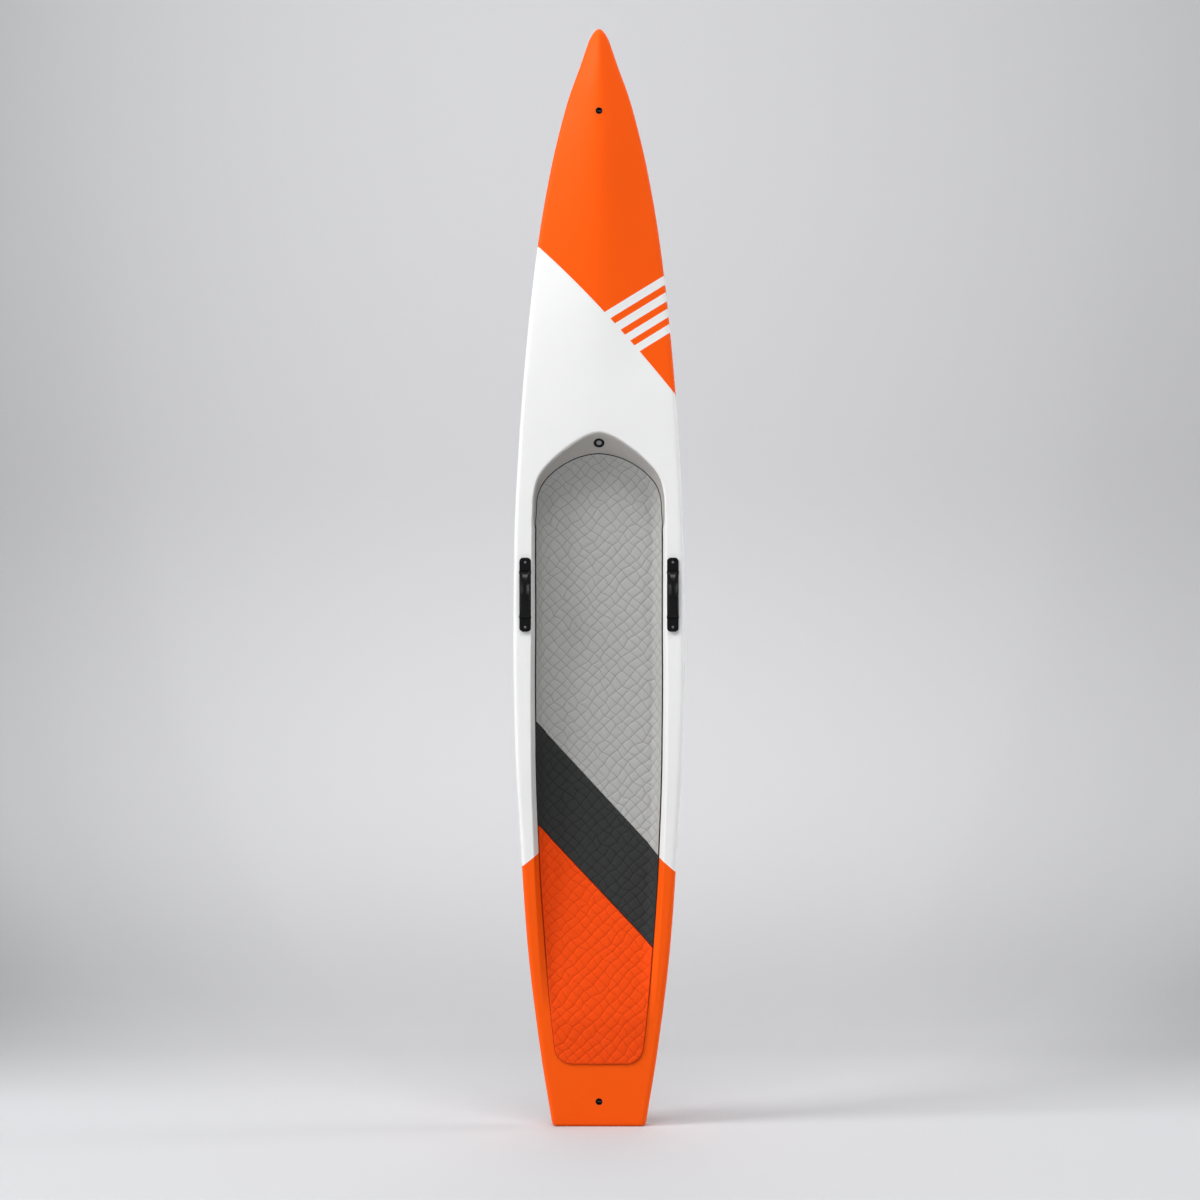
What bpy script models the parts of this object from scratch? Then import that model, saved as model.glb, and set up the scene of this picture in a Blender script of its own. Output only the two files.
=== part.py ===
"""A hard race paddleboard, standing on its square tail with the deck towards -Y and the nose up, in metres.

The deck and hull laminates are two shells that meet at a seam along the rails, and the standing well is a
tray let into the deck, with its pads, its collar and the vent. Inside are the foam core in two halves, the
stringer between them and the blocks that hold the hardware. The fin sits in a slotted box in the hull.
"""

import math
from bisect import bisect_right

import bmesh
import bpy
from mathutils import Matrix, Vector

# Overall sizes
BOARD_LENGTH = 4.267
HALF_WIDTH = 0.3345
RAIL_HEIGHT = 0.134
KEEL_DEPTH = 0.064
CROWN_HEIGHT = 0.05
SKIN = 0.004
GAP = 0.0003

# Shape of the shell, as (share of the length from the tail, share of the size it belongs to)
OUTLINE = (
    (0.0, 0.546),
    (0.07, 0.689),
    (0.165, 0.835),
    (0.26, 0.918),
    (0.34, 0.975),
    (0.43, 1.0),
    (0.53, 0.989),
    (0.62, 0.935),
    (0.715, 0.84),
    (0.797, 0.723),
    (0.867, 0.574),
    (0.926, 0.394),
    (0.97, 0.211),
    (1.0, 0.079),
)
RAIL_LINE = (
    (0.0, 0.582),
    (0.1, 0.672),
    (0.14, 0.746),
    (0.21, 0.866),
    (0.28, 0.955),
    (0.33, 1.0),
    (0.64, 1.0),
    (0.77, 0.84),
    (0.89, 0.63),
    (0.96, 0.43),
    (1.0, 0.24),
)
CROWN_LINE = ((0.0, 0.0), (0.58, 0.0), (0.66, 0.16), (0.78, 0.72), (0.88, 1.0), (0.95, 0.86), (1.0, 0.3))
KEEL_LINE = (
    (0.0, 0.66),
    (0.05, 0.78),
    (0.15, 0.78),
    (0.22, 0.9),
    (0.3, 0.97),
    (0.4, 1.0),
    (0.55, 0.99),
    (0.7, 0.95),
    (0.8, 0.9),
    (0.9, 0.8),
    (0.96, 0.66),
    (1.0, 0.46),
)
VEE_LINE = ((0.0, 0.0), (0.5, 0.0), (0.7, 0.25), (0.85, 0.6), (0.95, 0.85), (1.0, 0.85))
TUMBLEHOME = 0.010
RAIL_RADIUS = 0.016
CHINE_WIDTH = 0.075
RIDGE_POWER = 1.6
VEE_POWER = 1.6
TAIL_EDGE_RADIUS = 0.012
TIP_LENGTH = 0.05
NOSE_BLOCK = 0.07

# The standing well
WELL_CENTRE = 2.314
WELL_FLOOR_HEIGHT = 0.022
RAMP_START = 1.65
RAMP_END = 0.42
RAMP_POWER = 2.6
RAMP_OVERRUN = 0.05
COLLAR_REACH = 0.379
PAD_REACH = 0.2975
GUNWALE_WIDTH = 0.0635
GUNWALE_LINE = ((0.057, 0.33), (0.105, 0.43), (0.164, 0.575), (0.246, 0.68), (0.368, 0.9), (0.457, 1.0), (0.542, 0.976))
WALL_WIDTH = 0.0145
WALL_LINE = ((0.057, 1.79), (0.105, 1.66), (0.164, 1.45), (0.246, 1.1), (0.368, 1.0), (0.457, 0.86), (0.542, 0.655))
COLLAR_OUTLINE = ((0, 0.0), (14.4, 0.063), (29.1, 0.247), (41.5, 0.441), (55.6, 0.539), (71.6, 0.708), (84.6, 0.926), (90, 1.0))
PAD_OUTLINE = ((0, 0.0), (15, 0.147), (25.6, 0.446), (39.3, 0.738), (56.9, 0.831), (73.4, 0.923), (90, 1.0))
WALL_SHARE = 0.5
SIDE_FILLET = 0.045
FRONT_FILLET = 0.14
FRONT_STEP = 0.006

# Deck pads and collar
PAD_GAP = 0.0004
PAD_THICKNESS = 0.005
PAD_REAR = 0.243
PAD_REAR_RADIUS = 0.06
PAD_SPLIT_ANGLE = 47.0
PAD_GREY_END = 1.301
PAD_ORANGE_START = 0.918
PAD_JOIN_GAP = 0.0006
COLLAR_GAP = 0.0008
COLLAR_THICKNESS = 0.003
COLLAR_MARGIN = 0.002

# Core parts
CORE_GAP = 0.0006
STRINGER_WIDTH = 0.004

# Vent in the collar
VENT_FROM_RIM = 0.042
VENT_FLAT = 0.0215
VENT_FLANGE_HEIGHT = 0.0038
VENT_BODY_RADIUS = 0.0135
VENT_FLANGE_WIDTH = 0.0072
VENT_FLANGE_RADIUS = VENT_BODY_RADIUS + VENT_FLANGE_WIDTH
VENT_BODY_DEPTH = 0.026
VENT_HEAD_RADIUS = 0.0105
VENT_HEAD_SUNK = 0.0024
VENT_THREAD_RADIUS = 0.0065
VENT_THREAD_DEPTH = 0.013
VENT_PORT_RADIUS = 0.003
VENT_RING_RADIUS = 0.0012
VENT_HEAD_SLOT = 0.0022
VENT_MEMBRANE_RADIUS = 0.0055
VENT_MEMBRANE_THICKNESS = 0.0006

# Leash cups
LEASH_FLANGE_HEIGHT = 0.0022
LEASH_BODY_RADIUS = 0.0118
LEASH_BODY_DEPTH = 0.022
LEASH_FLANGE_WIDTH = 0.0015
LEASH_WALL = 0.0022
LEASH_FLOOR = 0.004
LEASH_FLANGE_RADIUS = LEASH_BODY_RADIUS + LEASH_FLANGE_WIDTH
LEASH_HOLLOW_RADIUS = LEASH_BODY_RADIUS - LEASH_WALL
LEASH_HOLLOW_DEPTH = LEASH_BODY_DEPTH - LEASH_FLOOR
LEASH_PIN_RADIUS = 0.0015
LEASH_PIN_DEPTH = 0.005
BOW_LEASH_FROM_NOSE = 0.334
TAIL_LEASH_FROM_TAIL = 0.097

# Handles
HANDLE_CENTRE = 2.062
HANDLE_LENGTH = 0.286
HANDLE_WIDTH = 0.045
HANDLE_CORNER = 0.015
HANDLE_SETBACK = 0.0025
HANDLE_BASE_HEIGHT = 0.0045
HANDLE_PAD_HEIGHT = 0.005
GRIP_SPAN = 0.179
GRIP_RISE = 0.028
GRIP_THICKNESS = 0.0095
GRIP_SHOULDER_WIDTH = 0.0495
GRIP_WAIST_WIDTH = 0.033
HANDLE_SCREW_INSET = 0.018
HANDLE_SCREW_RADIUS = 0.003
HANDLE_HEAD_RADIUS = 0.0052
HANDLE_HEAD_HEIGHT = 0.0026
INSERT_RADIUS = 0.005
INSERT_LENGTH = 0.018
HANDLE_SCREW_GRIP = 0.014
HANDLE_BLOCK_OVERLAP = 0.007
HANDLE_BLOCK_LENGTH = HANDLE_LENGTH + 2 * HANDLE_BLOCK_OVERLAP
HANDLE_BLOCK_WIDTH = 0.03
HANDLE_BLOCK_DEPTH = 0.026

# Fin box and fin
FIN_BOX_AHEAD_OF_TAPER = 0.03665
FIN_BOX_LENGTH = 0.273
FIN_BOX_END = 0.014
FIN_BOX_SIDE = 0.00525
FIN_BOX_FLOOR = 0.0045
FIN_GROOVE_STEP = 0.00335
FIN_GROOVE_DEPTH = 0.0075
FIN_BASE_ROOM = 0.002
FIN_BLOCK_MARGIN = 0.018
FIN_BASE_LENGTH = 0.15
FIN_BASE_DEPTH = 0.0205
FIN_THICKNESS = 0.009
FIN_TONGUE_LENGTH = 0.022
FIN_TONGUE_HEIGHT = 0.0045
FIN_HEIGHT = 0.2
FIN_TIP_CHORD = 0.062
FIN_SWEEP = 0.085
FIN_PIN_RADIUS = 0.0019
FIN_PIN_INSET = 0.012
FIN_SCREW_RADIUS = 0.002
FIN_SCREW_HEAD_RADIUS = 0.0036
FIN_SCREW_HEAD_HEIGHT = 0.0018
FIN_NUT_LENGTH = 0.012
FIN_NUT_HEIGHT = 0.0034
FIN_CLEARANCE = 0.0004
FIN_SLOT_LENGTH = FIN_BOX_LENGTH - 2 * FIN_BOX_END
FIN_SLOT_WIDTH = FIN_THICKNESS + 2 * FIN_CLEARANCE
FIN_SLOT_DEPTH = FIN_BASE_DEPTH + FIN_BASE_ROOM
FIN_GROOVE_WIDTH = FIN_SLOT_WIDTH + 2 * FIN_GROOVE_STEP
FIN_GROOVE_HEIGHT = FIN_NUT_HEIGHT + 3 * FIN_CLEARANCE
FIN_BOX_WIDTH = FIN_GROOVE_WIDTH + 2 * FIN_BOX_SIDE
FIN_BOX_DEPTH = FIN_SLOT_DEPTH + FIN_BOX_FLOOR
FIN_BOX_REAR = KEEL_LINE[1][0] * BOARD_LENGTH + FIN_BOX_AHEAD_OF_TAPER

# How finely the curved shapes are divided
HULL_STATIONS = 26
WELL_ROWS = 12
WELL_FAN = 8
DECK_STEPS = 5
CORNER_STEPS = 3
CHINE_STEPS = 4
BOTTOM_STEPS = 3
FILLET_STEPS = 4
ROUND_STEPS = 16
CORNER_ARC_STEPS = 4
ABOVE_DECK = 0.12

SEAM_Y = (RAIL_LINE[0][1] * RAIL_HEIGHT - KEEL_LINE[0][1] * KEEL_DEPTH) / 2
FACING_DECK = math.pi / 2
FACING_HULL = -math.pi / 2


# Scene, materials and small tools


def clear_scene():
    for obj in list(bpy.data.objects):
        bpy.data.objects.remove(obj)
    for collection in list(bpy.data.collections):
        bpy.data.collections.remove(collection)


def new_collection(name):
    collection = bpy.data.collections.new(name)
    bpy.context.scene.collection.children.link(collection)
    return collection


def new_material(name, colour, roughness, metallic=0.0):
    material = bpy.data.materials.new(name)
    material.use_nodes = True
    shader = material.node_tree.nodes["Principled BSDF"]
    shader.inputs["Base Color"].default_value = (*colour, 1.0)
    shader.inputs["Roughness"].default_value = roughness
    shader.inputs["Metallic"].default_value = metallic
    return material


def new_empty(name, parent, location, tilt=0.0):
    empty = bpy.data.objects.new(name, None)
    PARTS.objects.link(empty)
    empty.parent = parent
    empty.location = location
    empty.rotation_euler = (tilt, 0.0, 0.0)
    return empty


def new_object(name, mesh, parent, collection):
    obj = bpy.data.objects.new(name, mesh)
    collection.objects.link(obj)
    obj.parent = parent
    return obj


def part(obj, material):
    """The object as a finished part: its material on it and its round faces shaded smooth."""
    obj.data.materials.clear()
    obj.data.materials.append(material)
    obj.data.shade_smooth()
    obj.data.set_sharp_from_angle(angle=math.radians(35))
    return obj


def cutter(obj):
    """The object as a helper, which isn't part of the board."""
    obj.hide_render = True
    obj.display_type = "WIRE"
    for collection in list(obj.users_collection):
        collection.objects.unlink(obj)
    CUTTERS.objects.link(obj)
    return obj


def boolean(target, other, operation="DIFFERENCE", solver="EXACT"):
    modifier = target.modifiers.new(other.name, "BOOLEAN")
    modifier.object = other
    modifier.operation = operation
    modifier.solver = solver


def cut(target, *cutters, solver="EXACT"):
    for other in cutters:
        boolean(target, other, solver=solver)


def settled(obj, shortest=0.00005):
    """A plain mesh object in the place of one made of a curve or of modifiers, with no edge below the shortest."""
    bpy.context.view_layer.update()
    graph = bpy.context.evaluated_depsgraph_get()
    mesh = bpy.data.meshes.new_from_object(obj.evaluated_get(graph))
    work = bmesh.new()
    work.from_mesh(mesh)
    bmesh.ops.remove_doubles(work, verts=work.verts, dist=1e-6)
    bmesh.ops.triangulate(work, faces=work.faces)
    bmesh.ops.dissolve_degenerate(work, edges=work.edges, dist=shortest)
    bmesh.ops.recalc_face_normals(work, faces=work.faces)
    if work.calc_volume(signed=True) < 0:
        bmesh.ops.reverse_faces(work, faces=work.faces)
    work.to_mesh(mesh)
    work.free()
    name, parent = obj.name, obj.parent
    location, rotation = obj.location.copy(), obj.rotation_euler.copy()
    bpy.data.objects.remove(obj)
    plain = new_object(name, mesh, parent, PARTS)
    plain.location = location
    plain.rotation_euler = rotation
    return plain


def turned(name, profile, parent):
    """A solid turned about local Z, from a closed (radius, height) profile whose outer side runs downwards."""
    mesh = bpy.data.meshes.new(name)
    pairs = [(i, (i + 1) % len(profile)) for i in range(len(profile))]
    off_axis = [(i, j) for i, j in pairs if profile[i][0] > 0 or profile[j][0] > 0]
    mesh.from_pydata([(radius, 0.0, height) for radius, height in profile], off_axis, [])
    obj = new_object(name, mesh, parent, PARTS)
    screw = obj.modifiers.new("turn", "SCREW")
    screw.steps = ROUND_STEPS
    screw.render_steps = ROUND_STEPS
    screw.use_merge_vertices = True
    screw.merge_threshold = 0.00001
    return settled(obj)


def cylinder(name, radius, low, high, parent, centre=(0.0, 0.0)):
    """A cylinder along local Z from low to high."""
    mesh = bpy.data.meshes.new(name)
    work = bmesh.new()
    bmesh.ops.create_cone(
        work,
        cap_ends=True,
        segments=ROUND_STEPS,
        radius1=radius,
        radius2=radius,
        depth=high - low,
        matrix=Matrix.Translation((centre[0], centre[1], (low + high) / 2)),
    )
    work.to_mesh(mesh)
    work.free()
    return new_object(name, mesh, parent, PARTS)


def cross_cylinder(name, radius, half_length, parent, centre):
    """A cylinder along local X."""
    obj = cylinder(name, radius, -half_length, half_length, parent)
    obj.data.transform(Matrix.Translation(centre) @ Matrix.Rotation(math.pi / 2, 4, "Y"))
    return obj


def box(name, low, high, parent):
    """A box between two corners."""
    mesh = bpy.data.meshes.new(name)
    work = bmesh.new()
    bmesh.ops.create_cube(work, size=1.0)
    size = Vector(high) - Vector(low)
    middle = (Vector(high) + Vector(low)) / 2
    bmesh.ops.scale(work, verts=work.verts, vec=size)
    bmesh.ops.translate(work, verts=work.verts, vec=middle)
    work.to_mesh(mesh)
    work.free()
    return new_object(name, mesh, parent, PARTS)


def plate(name, outline, low, high, parent):
    """A flat outline in local X and Y, filled and raised from low to high."""
    curve = bpy.data.curves.new(name, "CURVE")
    curve.dimensions = "2D"
    curve.fill_mode = "BOTH"
    curve.extrude = (high - low) / 2
    spline = curve.splines.new("POLY")
    spline.points.add(len(outline) - 1)
    for point, (x, y) in zip(spline.points, outline):
        point.co = (x, y, 0.0, 1.0)
    spline.use_cyclic_u = True
    obj = new_object(name, curve, parent, PARTS)
    flat = settled(obj)
    flat.data.transform(Matrix.Translation((0.0, 0.0, (low + high) / 2)))
    return flat


def off_centre(point):
    """How far a point is from the centre line, for sorting, and then how far along the board."""
    return round(abs(point.x), 6), point.z


def loft(name, rings, parent, cap_last=True):
    """A skin through rings of points, capped at its ends, for sections that differ along the way.

    Each pair of triangles is split from the first ring's point nearer to the centre line, so that skins which
    run side by side are split alike, also on the board's other half.
    """
    mesh = bpy.data.meshes.new(name)
    work = bmesh.new()
    rows = [[work.verts.new(point) for point in ring] for ring in rings]
    for low, high in zip(rows, rows[1:]):
        for i in range(len(low)):
            j = (i + 1) % len(low)
            if off_centre(low[i].co) <= off_centre(low[j].co):
                work.faces.new((low[i], low[j], high[j]))
                work.faces.new((low[i], high[j], high[i]))
            else:
                work.faces.new((low[i], low[j], high[i]))
                work.faces.new((low[j], high[j], high[i]))
    work.faces.new(rows[0][::-1])
    if cap_last:
        work.faces.new(rows[-1])
    bmesh.ops.remove_doubles(work, verts=work.verts, dist=1e-6)
    bmesh.ops.triangulate(work, faces=work.faces)
    bmesh.ops.recalc_face_normals(work, faces=work.faces)
    if work.calc_volume(signed=True) < 0:
        bmesh.ops.reverse_faces(work, faces=work.faces)
    work.to_mesh(mesh)
    work.free()
    return new_object(name, mesh, parent, PARTS)


def mirrored(points):
    """A right half's points followed by the same ones on the left, last to first."""
    return points + [Vector((-p.x, p.y, p.z)) for p in reversed(points)]


def rounded_outline(width, length, radius):
    """A rectangle's outline with round corners, about the origin."""
    points = []
    corners = ((1, 1, 0), (-1, 1, 90), (-1, -1, 180), (1, -1, 270))
    for side_x, side_y, start in corners:
        for step in range(CORNER_ARC_STEPS + 1):
            angle = math.radians(start + 90 * step / CORNER_ARC_STEPS)
            x = side_x * (width / 2 - radius) + radius * math.cos(angle)
            y = side_y * (length / 2 - radius) + radius * math.sin(angle)
            points.append((x, y))
    return points


# The board's shape as functions of the height above the tail


def smooth_through(stations, place):
    """The value at a place on a curve through the stations, which doesn't overshoot them."""
    places = [p for p, _ in stations]
    values = [v for _, v in stations]
    if place <= places[0]:
        return values[0]
    if place >= places[-1]:
        return values[-1]
    spans = [b - a for a, b in zip(places, places[1:])]
    slopes = [(b - a) / span for a, b, span in zip(values, values[1:], spans)]
    tangents = [slopes[0]]
    for before, after in zip(slopes, slopes[1:]):
        tangents.append(0.0 if before * after <= 0 else 2 * before * after / (before + after))
    tangents.append(slopes[-1])
    i = bisect_right(places, place) - 1
    t = (place - places[i]) / spans[i]
    rise = values[i + 1] - values[i]
    bend_in = spans[i] * tangents[i] - rise
    bend_out = rise - spans[i] * tangents[i + 1]
    return values[i] + t * rise + t * (1 - t) * ((1 - t) * bend_in + t * bend_out)


def half_width(z):
    return HALF_WIDTH * smooth_through(OUTLINE, z / BOARD_LENGTH)


def rail_height(z):
    return RAIL_HEIGHT * smooth_through(RAIL_LINE, z / BOARD_LENGTH)


def crown_height(z):
    return CROWN_HEIGHT * smooth_through(CROWN_LINE, z / BOARD_LENGTH)


def keel_depth(z):
    return KEEL_DEPTH * smooth_through(KEEL_LINE, z / BOARD_LENGTH)


def top_half_width(z):
    return half_width(z) - TUMBLEHOME


def deck_y(x, z):
    """The deck's level where it isn't yet rounded towards the rail, with the seam at 0 and the deck at -Y."""
    across = min(abs(x) / max(top_half_width(z), 1e-6), 1.0)
    return -(rail_height(z) + crown_height(z) * (1 - across**RIDGE_POWER))


def end_trim(z, inset):
    """How much the tail's rounded edge takes off each side at this height."""
    radius = TAIL_EDGE_RADIUS - inset
    above = z - inset
    if above >= radius:
        return 0.0
    return radius - math.sqrt(radius**2 - (radius - above) ** 2)


def tip_scale(z):
    past = (z - (BOARD_LENGTH - TIP_LENGTH)) / TIP_LENGTH
    return math.sqrt(max(0.0, 1 - past**2)) if past > 0 else 1.0


def bend(start, corner, end, steps):
    """Points on a curve that leaves start towards the corner and arrives at end, without its first point."""
    points = []
    for step in range(1, steps + 1):
        t = step / steps
        points.append(start * (1 - t) ** 2 + corner * 2 * t * (1 - t) + end * t**2)
    return points


def deck_half(z, inset):
    """The right half of the deck's section, from the centre line to the seam."""
    trim = inset + end_trim(z, inset)
    width = half_width(z) - trim
    rail = rail_height(z) - trim
    crown = crown_height(z)
    top = width - min(TUMBLEHOME, 0.2 * width)
    radius = min(RAIL_RADIUS, 0.4 * top, 0.4 * rail)
    points = []
    for step in range(DECK_STEPS + 1):
        x = (top - radius) * step / DECK_STEPS
        points.append(Vector((x, -(rail + crown * (1 - (x / top) ** RIDGE_POWER)), z)))
    corner = Vector((top, -rail, z))
    seam = Vector((width, 0.0, z))
    side = corner + (seam - corner).normalized() * radius
    points += bend(points[-1], corner, side, CORNER_STEPS)
    points.append(seam)
    return scaled(points, z)


def hull_half(z, inset):
    """The right half of the hull's section, from the seam to the keel."""
    trim = inset + end_trim(z, inset)
    width = half_width(z) - trim
    keel = keel_depth(z) - trim
    chine = keel * (1 - smooth_through(VEE_LINE, z / BOARD_LENGTH))
    chine_width = min(CHINE_WIDTH, 0.5 * width)
    seam = Vector((width, 0.0, z))
    flat = width - chine_width
    points = bend(seam, Vector((width, chine, z)), Vector((flat, chine, z)), CHINE_STEPS)
    for step in range(1, BOTTOM_STEPS + 1):
        x = flat * (1 - step / BOTTOM_STEPS)
        y = chine + (keel - chine) * (1 - (x / flat) ** VEE_POWER)
        points.append(Vector((x, y, z)))
    return scaled(points, z)


def scaled(points, z):
    size = tip_scale(z)
    return [Vector((p.x * size, p.y * size, p.z)) for p in points]


def station_heights(inset):
    """Heights of the sections: close together at the round tail edge and towards the nose."""
    radius = TAIL_EDGE_RADIUS - inset
    bottom = inset
    heights = [bottom + radius * (1 - math.cos(math.radians(a))) for a in (0, 45, 90)]
    top = BOARD_LENGTH if inset == 0 else BOARD_LENGTH - NOSE_BLOCK - inset
    body = BOARD_LENGTH - 2 * TIP_LENGTH
    for step in range(1, HULL_STATIONS):
        share = step / (HULL_STATIONS - 1)
        z = heights[2] + (body - heights[2]) * (1 - (1 - share) ** 1.25)
        if z < top - 0.02:
            heights.append(z)
    if inset == 0:
        for angle in (0, 25, 50, 70, 90):
            heights.append(BOARD_LENGTH - TIP_LENGTH * (1 - math.sin(math.radians(angle))))
    else:
        heights.append(top)
    return heights


def board_solid(name, inset, deck, hull):
    """A solid of the board's deck side, its hull side or both, with its surface this far inside the real one."""
    rings = []
    for z in station_heights(inset):
        right = deck_half(z, inset)
        ring = []
        if deck:
            left = [Vector((-p.x, p.y, p.z)) for p in right]
            ring += left[:0:-1] + right
        if hull:
            if not deck:
                ring.append(right[-1])
            under = hull_half(z, inset)
            ring += under + [Vector((-p.x, p.y, p.z)) for p in under[-2::-1]]
            if not deck:
                ring.append(Vector((-right[-1].x, right[-1].y, right[-1].z)))
        rings.append(ring)
    return loft(name, rings, BOARD, cap_last=inset > 0)


# The standing well


def floor_height(z):
    """Height of the well's floor above the seam, which climbs to the deck towards the tail and runs past it."""
    along = (RAMP_START - z) / (RAMP_START - RAMP_END)
    climb = max(along, 0.0) ** RAMP_POWER
    return WELL_FLOOR_HEIGHT + (rail_height(z) - WELL_FLOOR_HEIGHT) * climb


def rim_x(z):
    share = smooth_through(GUNWALE_LINE, z / BOARD_LENGTH)
    return top_half_width(z) - GUNWALE_WIDTH * share


def pad_x(z):
    return rim_x(z) - WALL_WIDTH * smooth_through(WALL_LINE, z / BOARD_LENGTH)


def well_section(z=None, angle=None, aside=0.0, ahead=0.0):
    """One slice of the well: where it starts on the floor, its direction, and its (distance, y) profile.

    Behind the well's centre the slices run straight out to the side. In front they fan out from the centre.
    Where the floor has climbed to the deck or past it, the whole slice is level.
    """
    if angle is None:
        start, direction = Vector((0.0, 0.0, z)), Vector((1.0, 0.0, 0.0))
        rim, edge, fillet = rim_x(z), pad_x(z), SIDE_FILLET
    else:
        turn = math.radians(angle)
        start = Vector((aside, 0.0, WELL_CENTRE))
        direction = Vector((math.cos(turn), 0.0, math.sin(turn)))
        side_rim, side_edge = rim_x(WELL_CENTRE), pad_x(WELL_CENTRE)
        rim = side_rim + (COLLAR_REACH - side_rim) * smooth_through(COLLAR_OUTLINE, angle)
        edge = side_edge + (PAD_REACH - side_edge) * smooth_through(PAD_OUTLINE, angle)
        fillet = SIDE_FILLET + (FRONT_FILLET - SIDE_FILLET) * math.sin(turn) ** 2 - ahead
    place = start + direction * rim
    floor = -floor_height(min(place.z, WELL_CENTRE))
    top = min(deck_y(place.x, place.z), floor)
    profile = [(rim, top), (edge, top + WALL_SHARE * (floor - top))]
    for step in range(1, FILLET_STEPS + 1):
        q = step / FILLET_STEPS
        level = profile[1][1] + (floor - profile[1][1]) * (1 - (1 - q) ** 2)
        profile.append((edge - q * fillet, level))
    return start, direction, profile


def offset_profile(profile, distance):
    """The profile moved off the well's surface, into the air where distance is positive."""
    normals = []
    for (s0, y0), (s1, y1) in zip(profile, profile[1:]):
        length = math.hypot(s1 - s0, y1 - y0)
        normals.append((-(y1 - y0) / length, (s1 - s0) / length))
    moved = []
    for i, (s, y) in enumerate(profile):
        before = normals[max(i - 1, 0)]
        after = normals[min(i, len(normals) - 1)]
        across, up = (before[0] + after[0]) / 2, (before[1] + after[1]) / 2
        if i == len(profile) - 1:
            across, up = 0.0, -1.0
        stretch = distance / (across**2 + up**2)
        moved.append((s + across * stretch, y + up * stretch))
    return moved


def fan_slices():
    """The slices in front of the well's centre. The last two are level, so that the vent has a flat seat.

    Each of the two reaches the floor ahead of the slice before it, so that the floor doesn't fold back.
    """
    fan = [{"angle": 90 * step / WELL_FAN} for step in range(1, WELL_FAN)]
    beside = {"angle": 90, "aside": VENT_FLAT, "ahead": FRONT_STEP}
    return fan + [beside, {"angle": 90, "ahead": 2 * FRONT_STEP}]


def well_slices(rows):
    return [{"z": z} for z in rows] + fan_slices()


def well_rows():
    return [RAMP_END + (WELL_CENTRE - RAMP_END) * step / WELL_ROWS for step in range(WELL_ROWS + 1)]


def well_solid(name, growth):
    """The air in the well and above it, grown by this much, to cut with."""
    rings = []
    for slice_at in well_slices([RAMP_END - RAMP_OVERRUN] + well_rows()):
        start, direction, profile = well_section(**slice_at)
        side = profile[0][0] + growth
        profile = offset_profile(profile, -growth)
        profile[0] = (side, profile[0][1])
        profile.insert(0, (side, profile[0][1] - ABOVE_DECK))
        rings.append(mirrored([start + direction * s + Vector((0.0, y, 0.0)) for s, y in profile]))
    return cutter(loft(name, rings, BOARD, cap_last=False))


# Pads on the well's floor and the collar at its front


def pad_rows():
    corner = [
        PAD_REAR + PAD_REAR_RADIUS * (1 - math.cos(math.radians(90 * step / CORNER_ARC_STEPS)))
        for step in range(CORNER_ARC_STEPS + 1)
    ]
    return corner + well_rows()


def pad_ring(slice_at):
    start, direction, profile = well_section(**slice_at)
    z = slice_at.get("z", WELL_CENTRE)
    squeeze = 1.0
    if z < RAMP_END:
        profile = [(s, -rail_height(z)) for s, _ in profile]
        cut_in = max(0.0, PAD_REAR + PAD_REAR_RADIUS - z)
        round_off = PAD_REAR_RADIUS - math.sqrt(max(0.0, PAD_REAR_RADIUS**2 - cut_in**2))
        squeeze = 1 - round_off / profile[1][0]
    under = offset_profile(profile, PAD_GAP)[1:]
    over = offset_profile(profile, PAD_GAP + PAD_THICKNESS)[1:]
    right_under = [start + direction * s * squeeze + Vector((0.0, y, 0.0)) for s, y in under]
    right_over = [start + direction * s * squeeze + Vector((0.0, y, 0.0)) for s, y in over]
    flip = Matrix.Diagonal((-1.0, 1.0, 1.0))
    left_under = [flip @ p for p in right_under]
    left_over = [flip @ p for p in right_over]
    return right_under + left_under[::-1] + left_over + right_over[::-1]


def make_pads(grey, charcoal, orange):
    rings = [pad_ring(slice_at) for slice_at in well_slices(pad_rows())]
    fill = math.tan(math.radians(PAD_SPLIT_ANGLE))
    far = BOARD_LENGTH
    grey_end, orange_start = PAD_GREY_END, PAD_ORANGE_START
    spans = (
        ("deck_pad_grey", grey_end + PAD_JOIN_GAP / 2, far, grey),
        ("deck_pad_charcoal", orange_start + PAD_JOIN_GAP / 2, grey_end - PAD_JOIN_GAP / 2, charcoal),
        ("deck_pad_orange", -far, orange_start - PAD_JOIN_GAP / 2, orange),
    )
    for name, low, high, material in spans:
        pad = part(loft(name, rings, BOARD, cap_last=False), material)
        band = box(name + "_band", (-1.0, -1.0, low), (1.0, 1.0, high), BOARD)
        for vertex in band.data.vertices:
            vertex.co.z -= fill * vertex.co.x
        boolean(pad, cutter(band), "INTERSECT")


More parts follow.
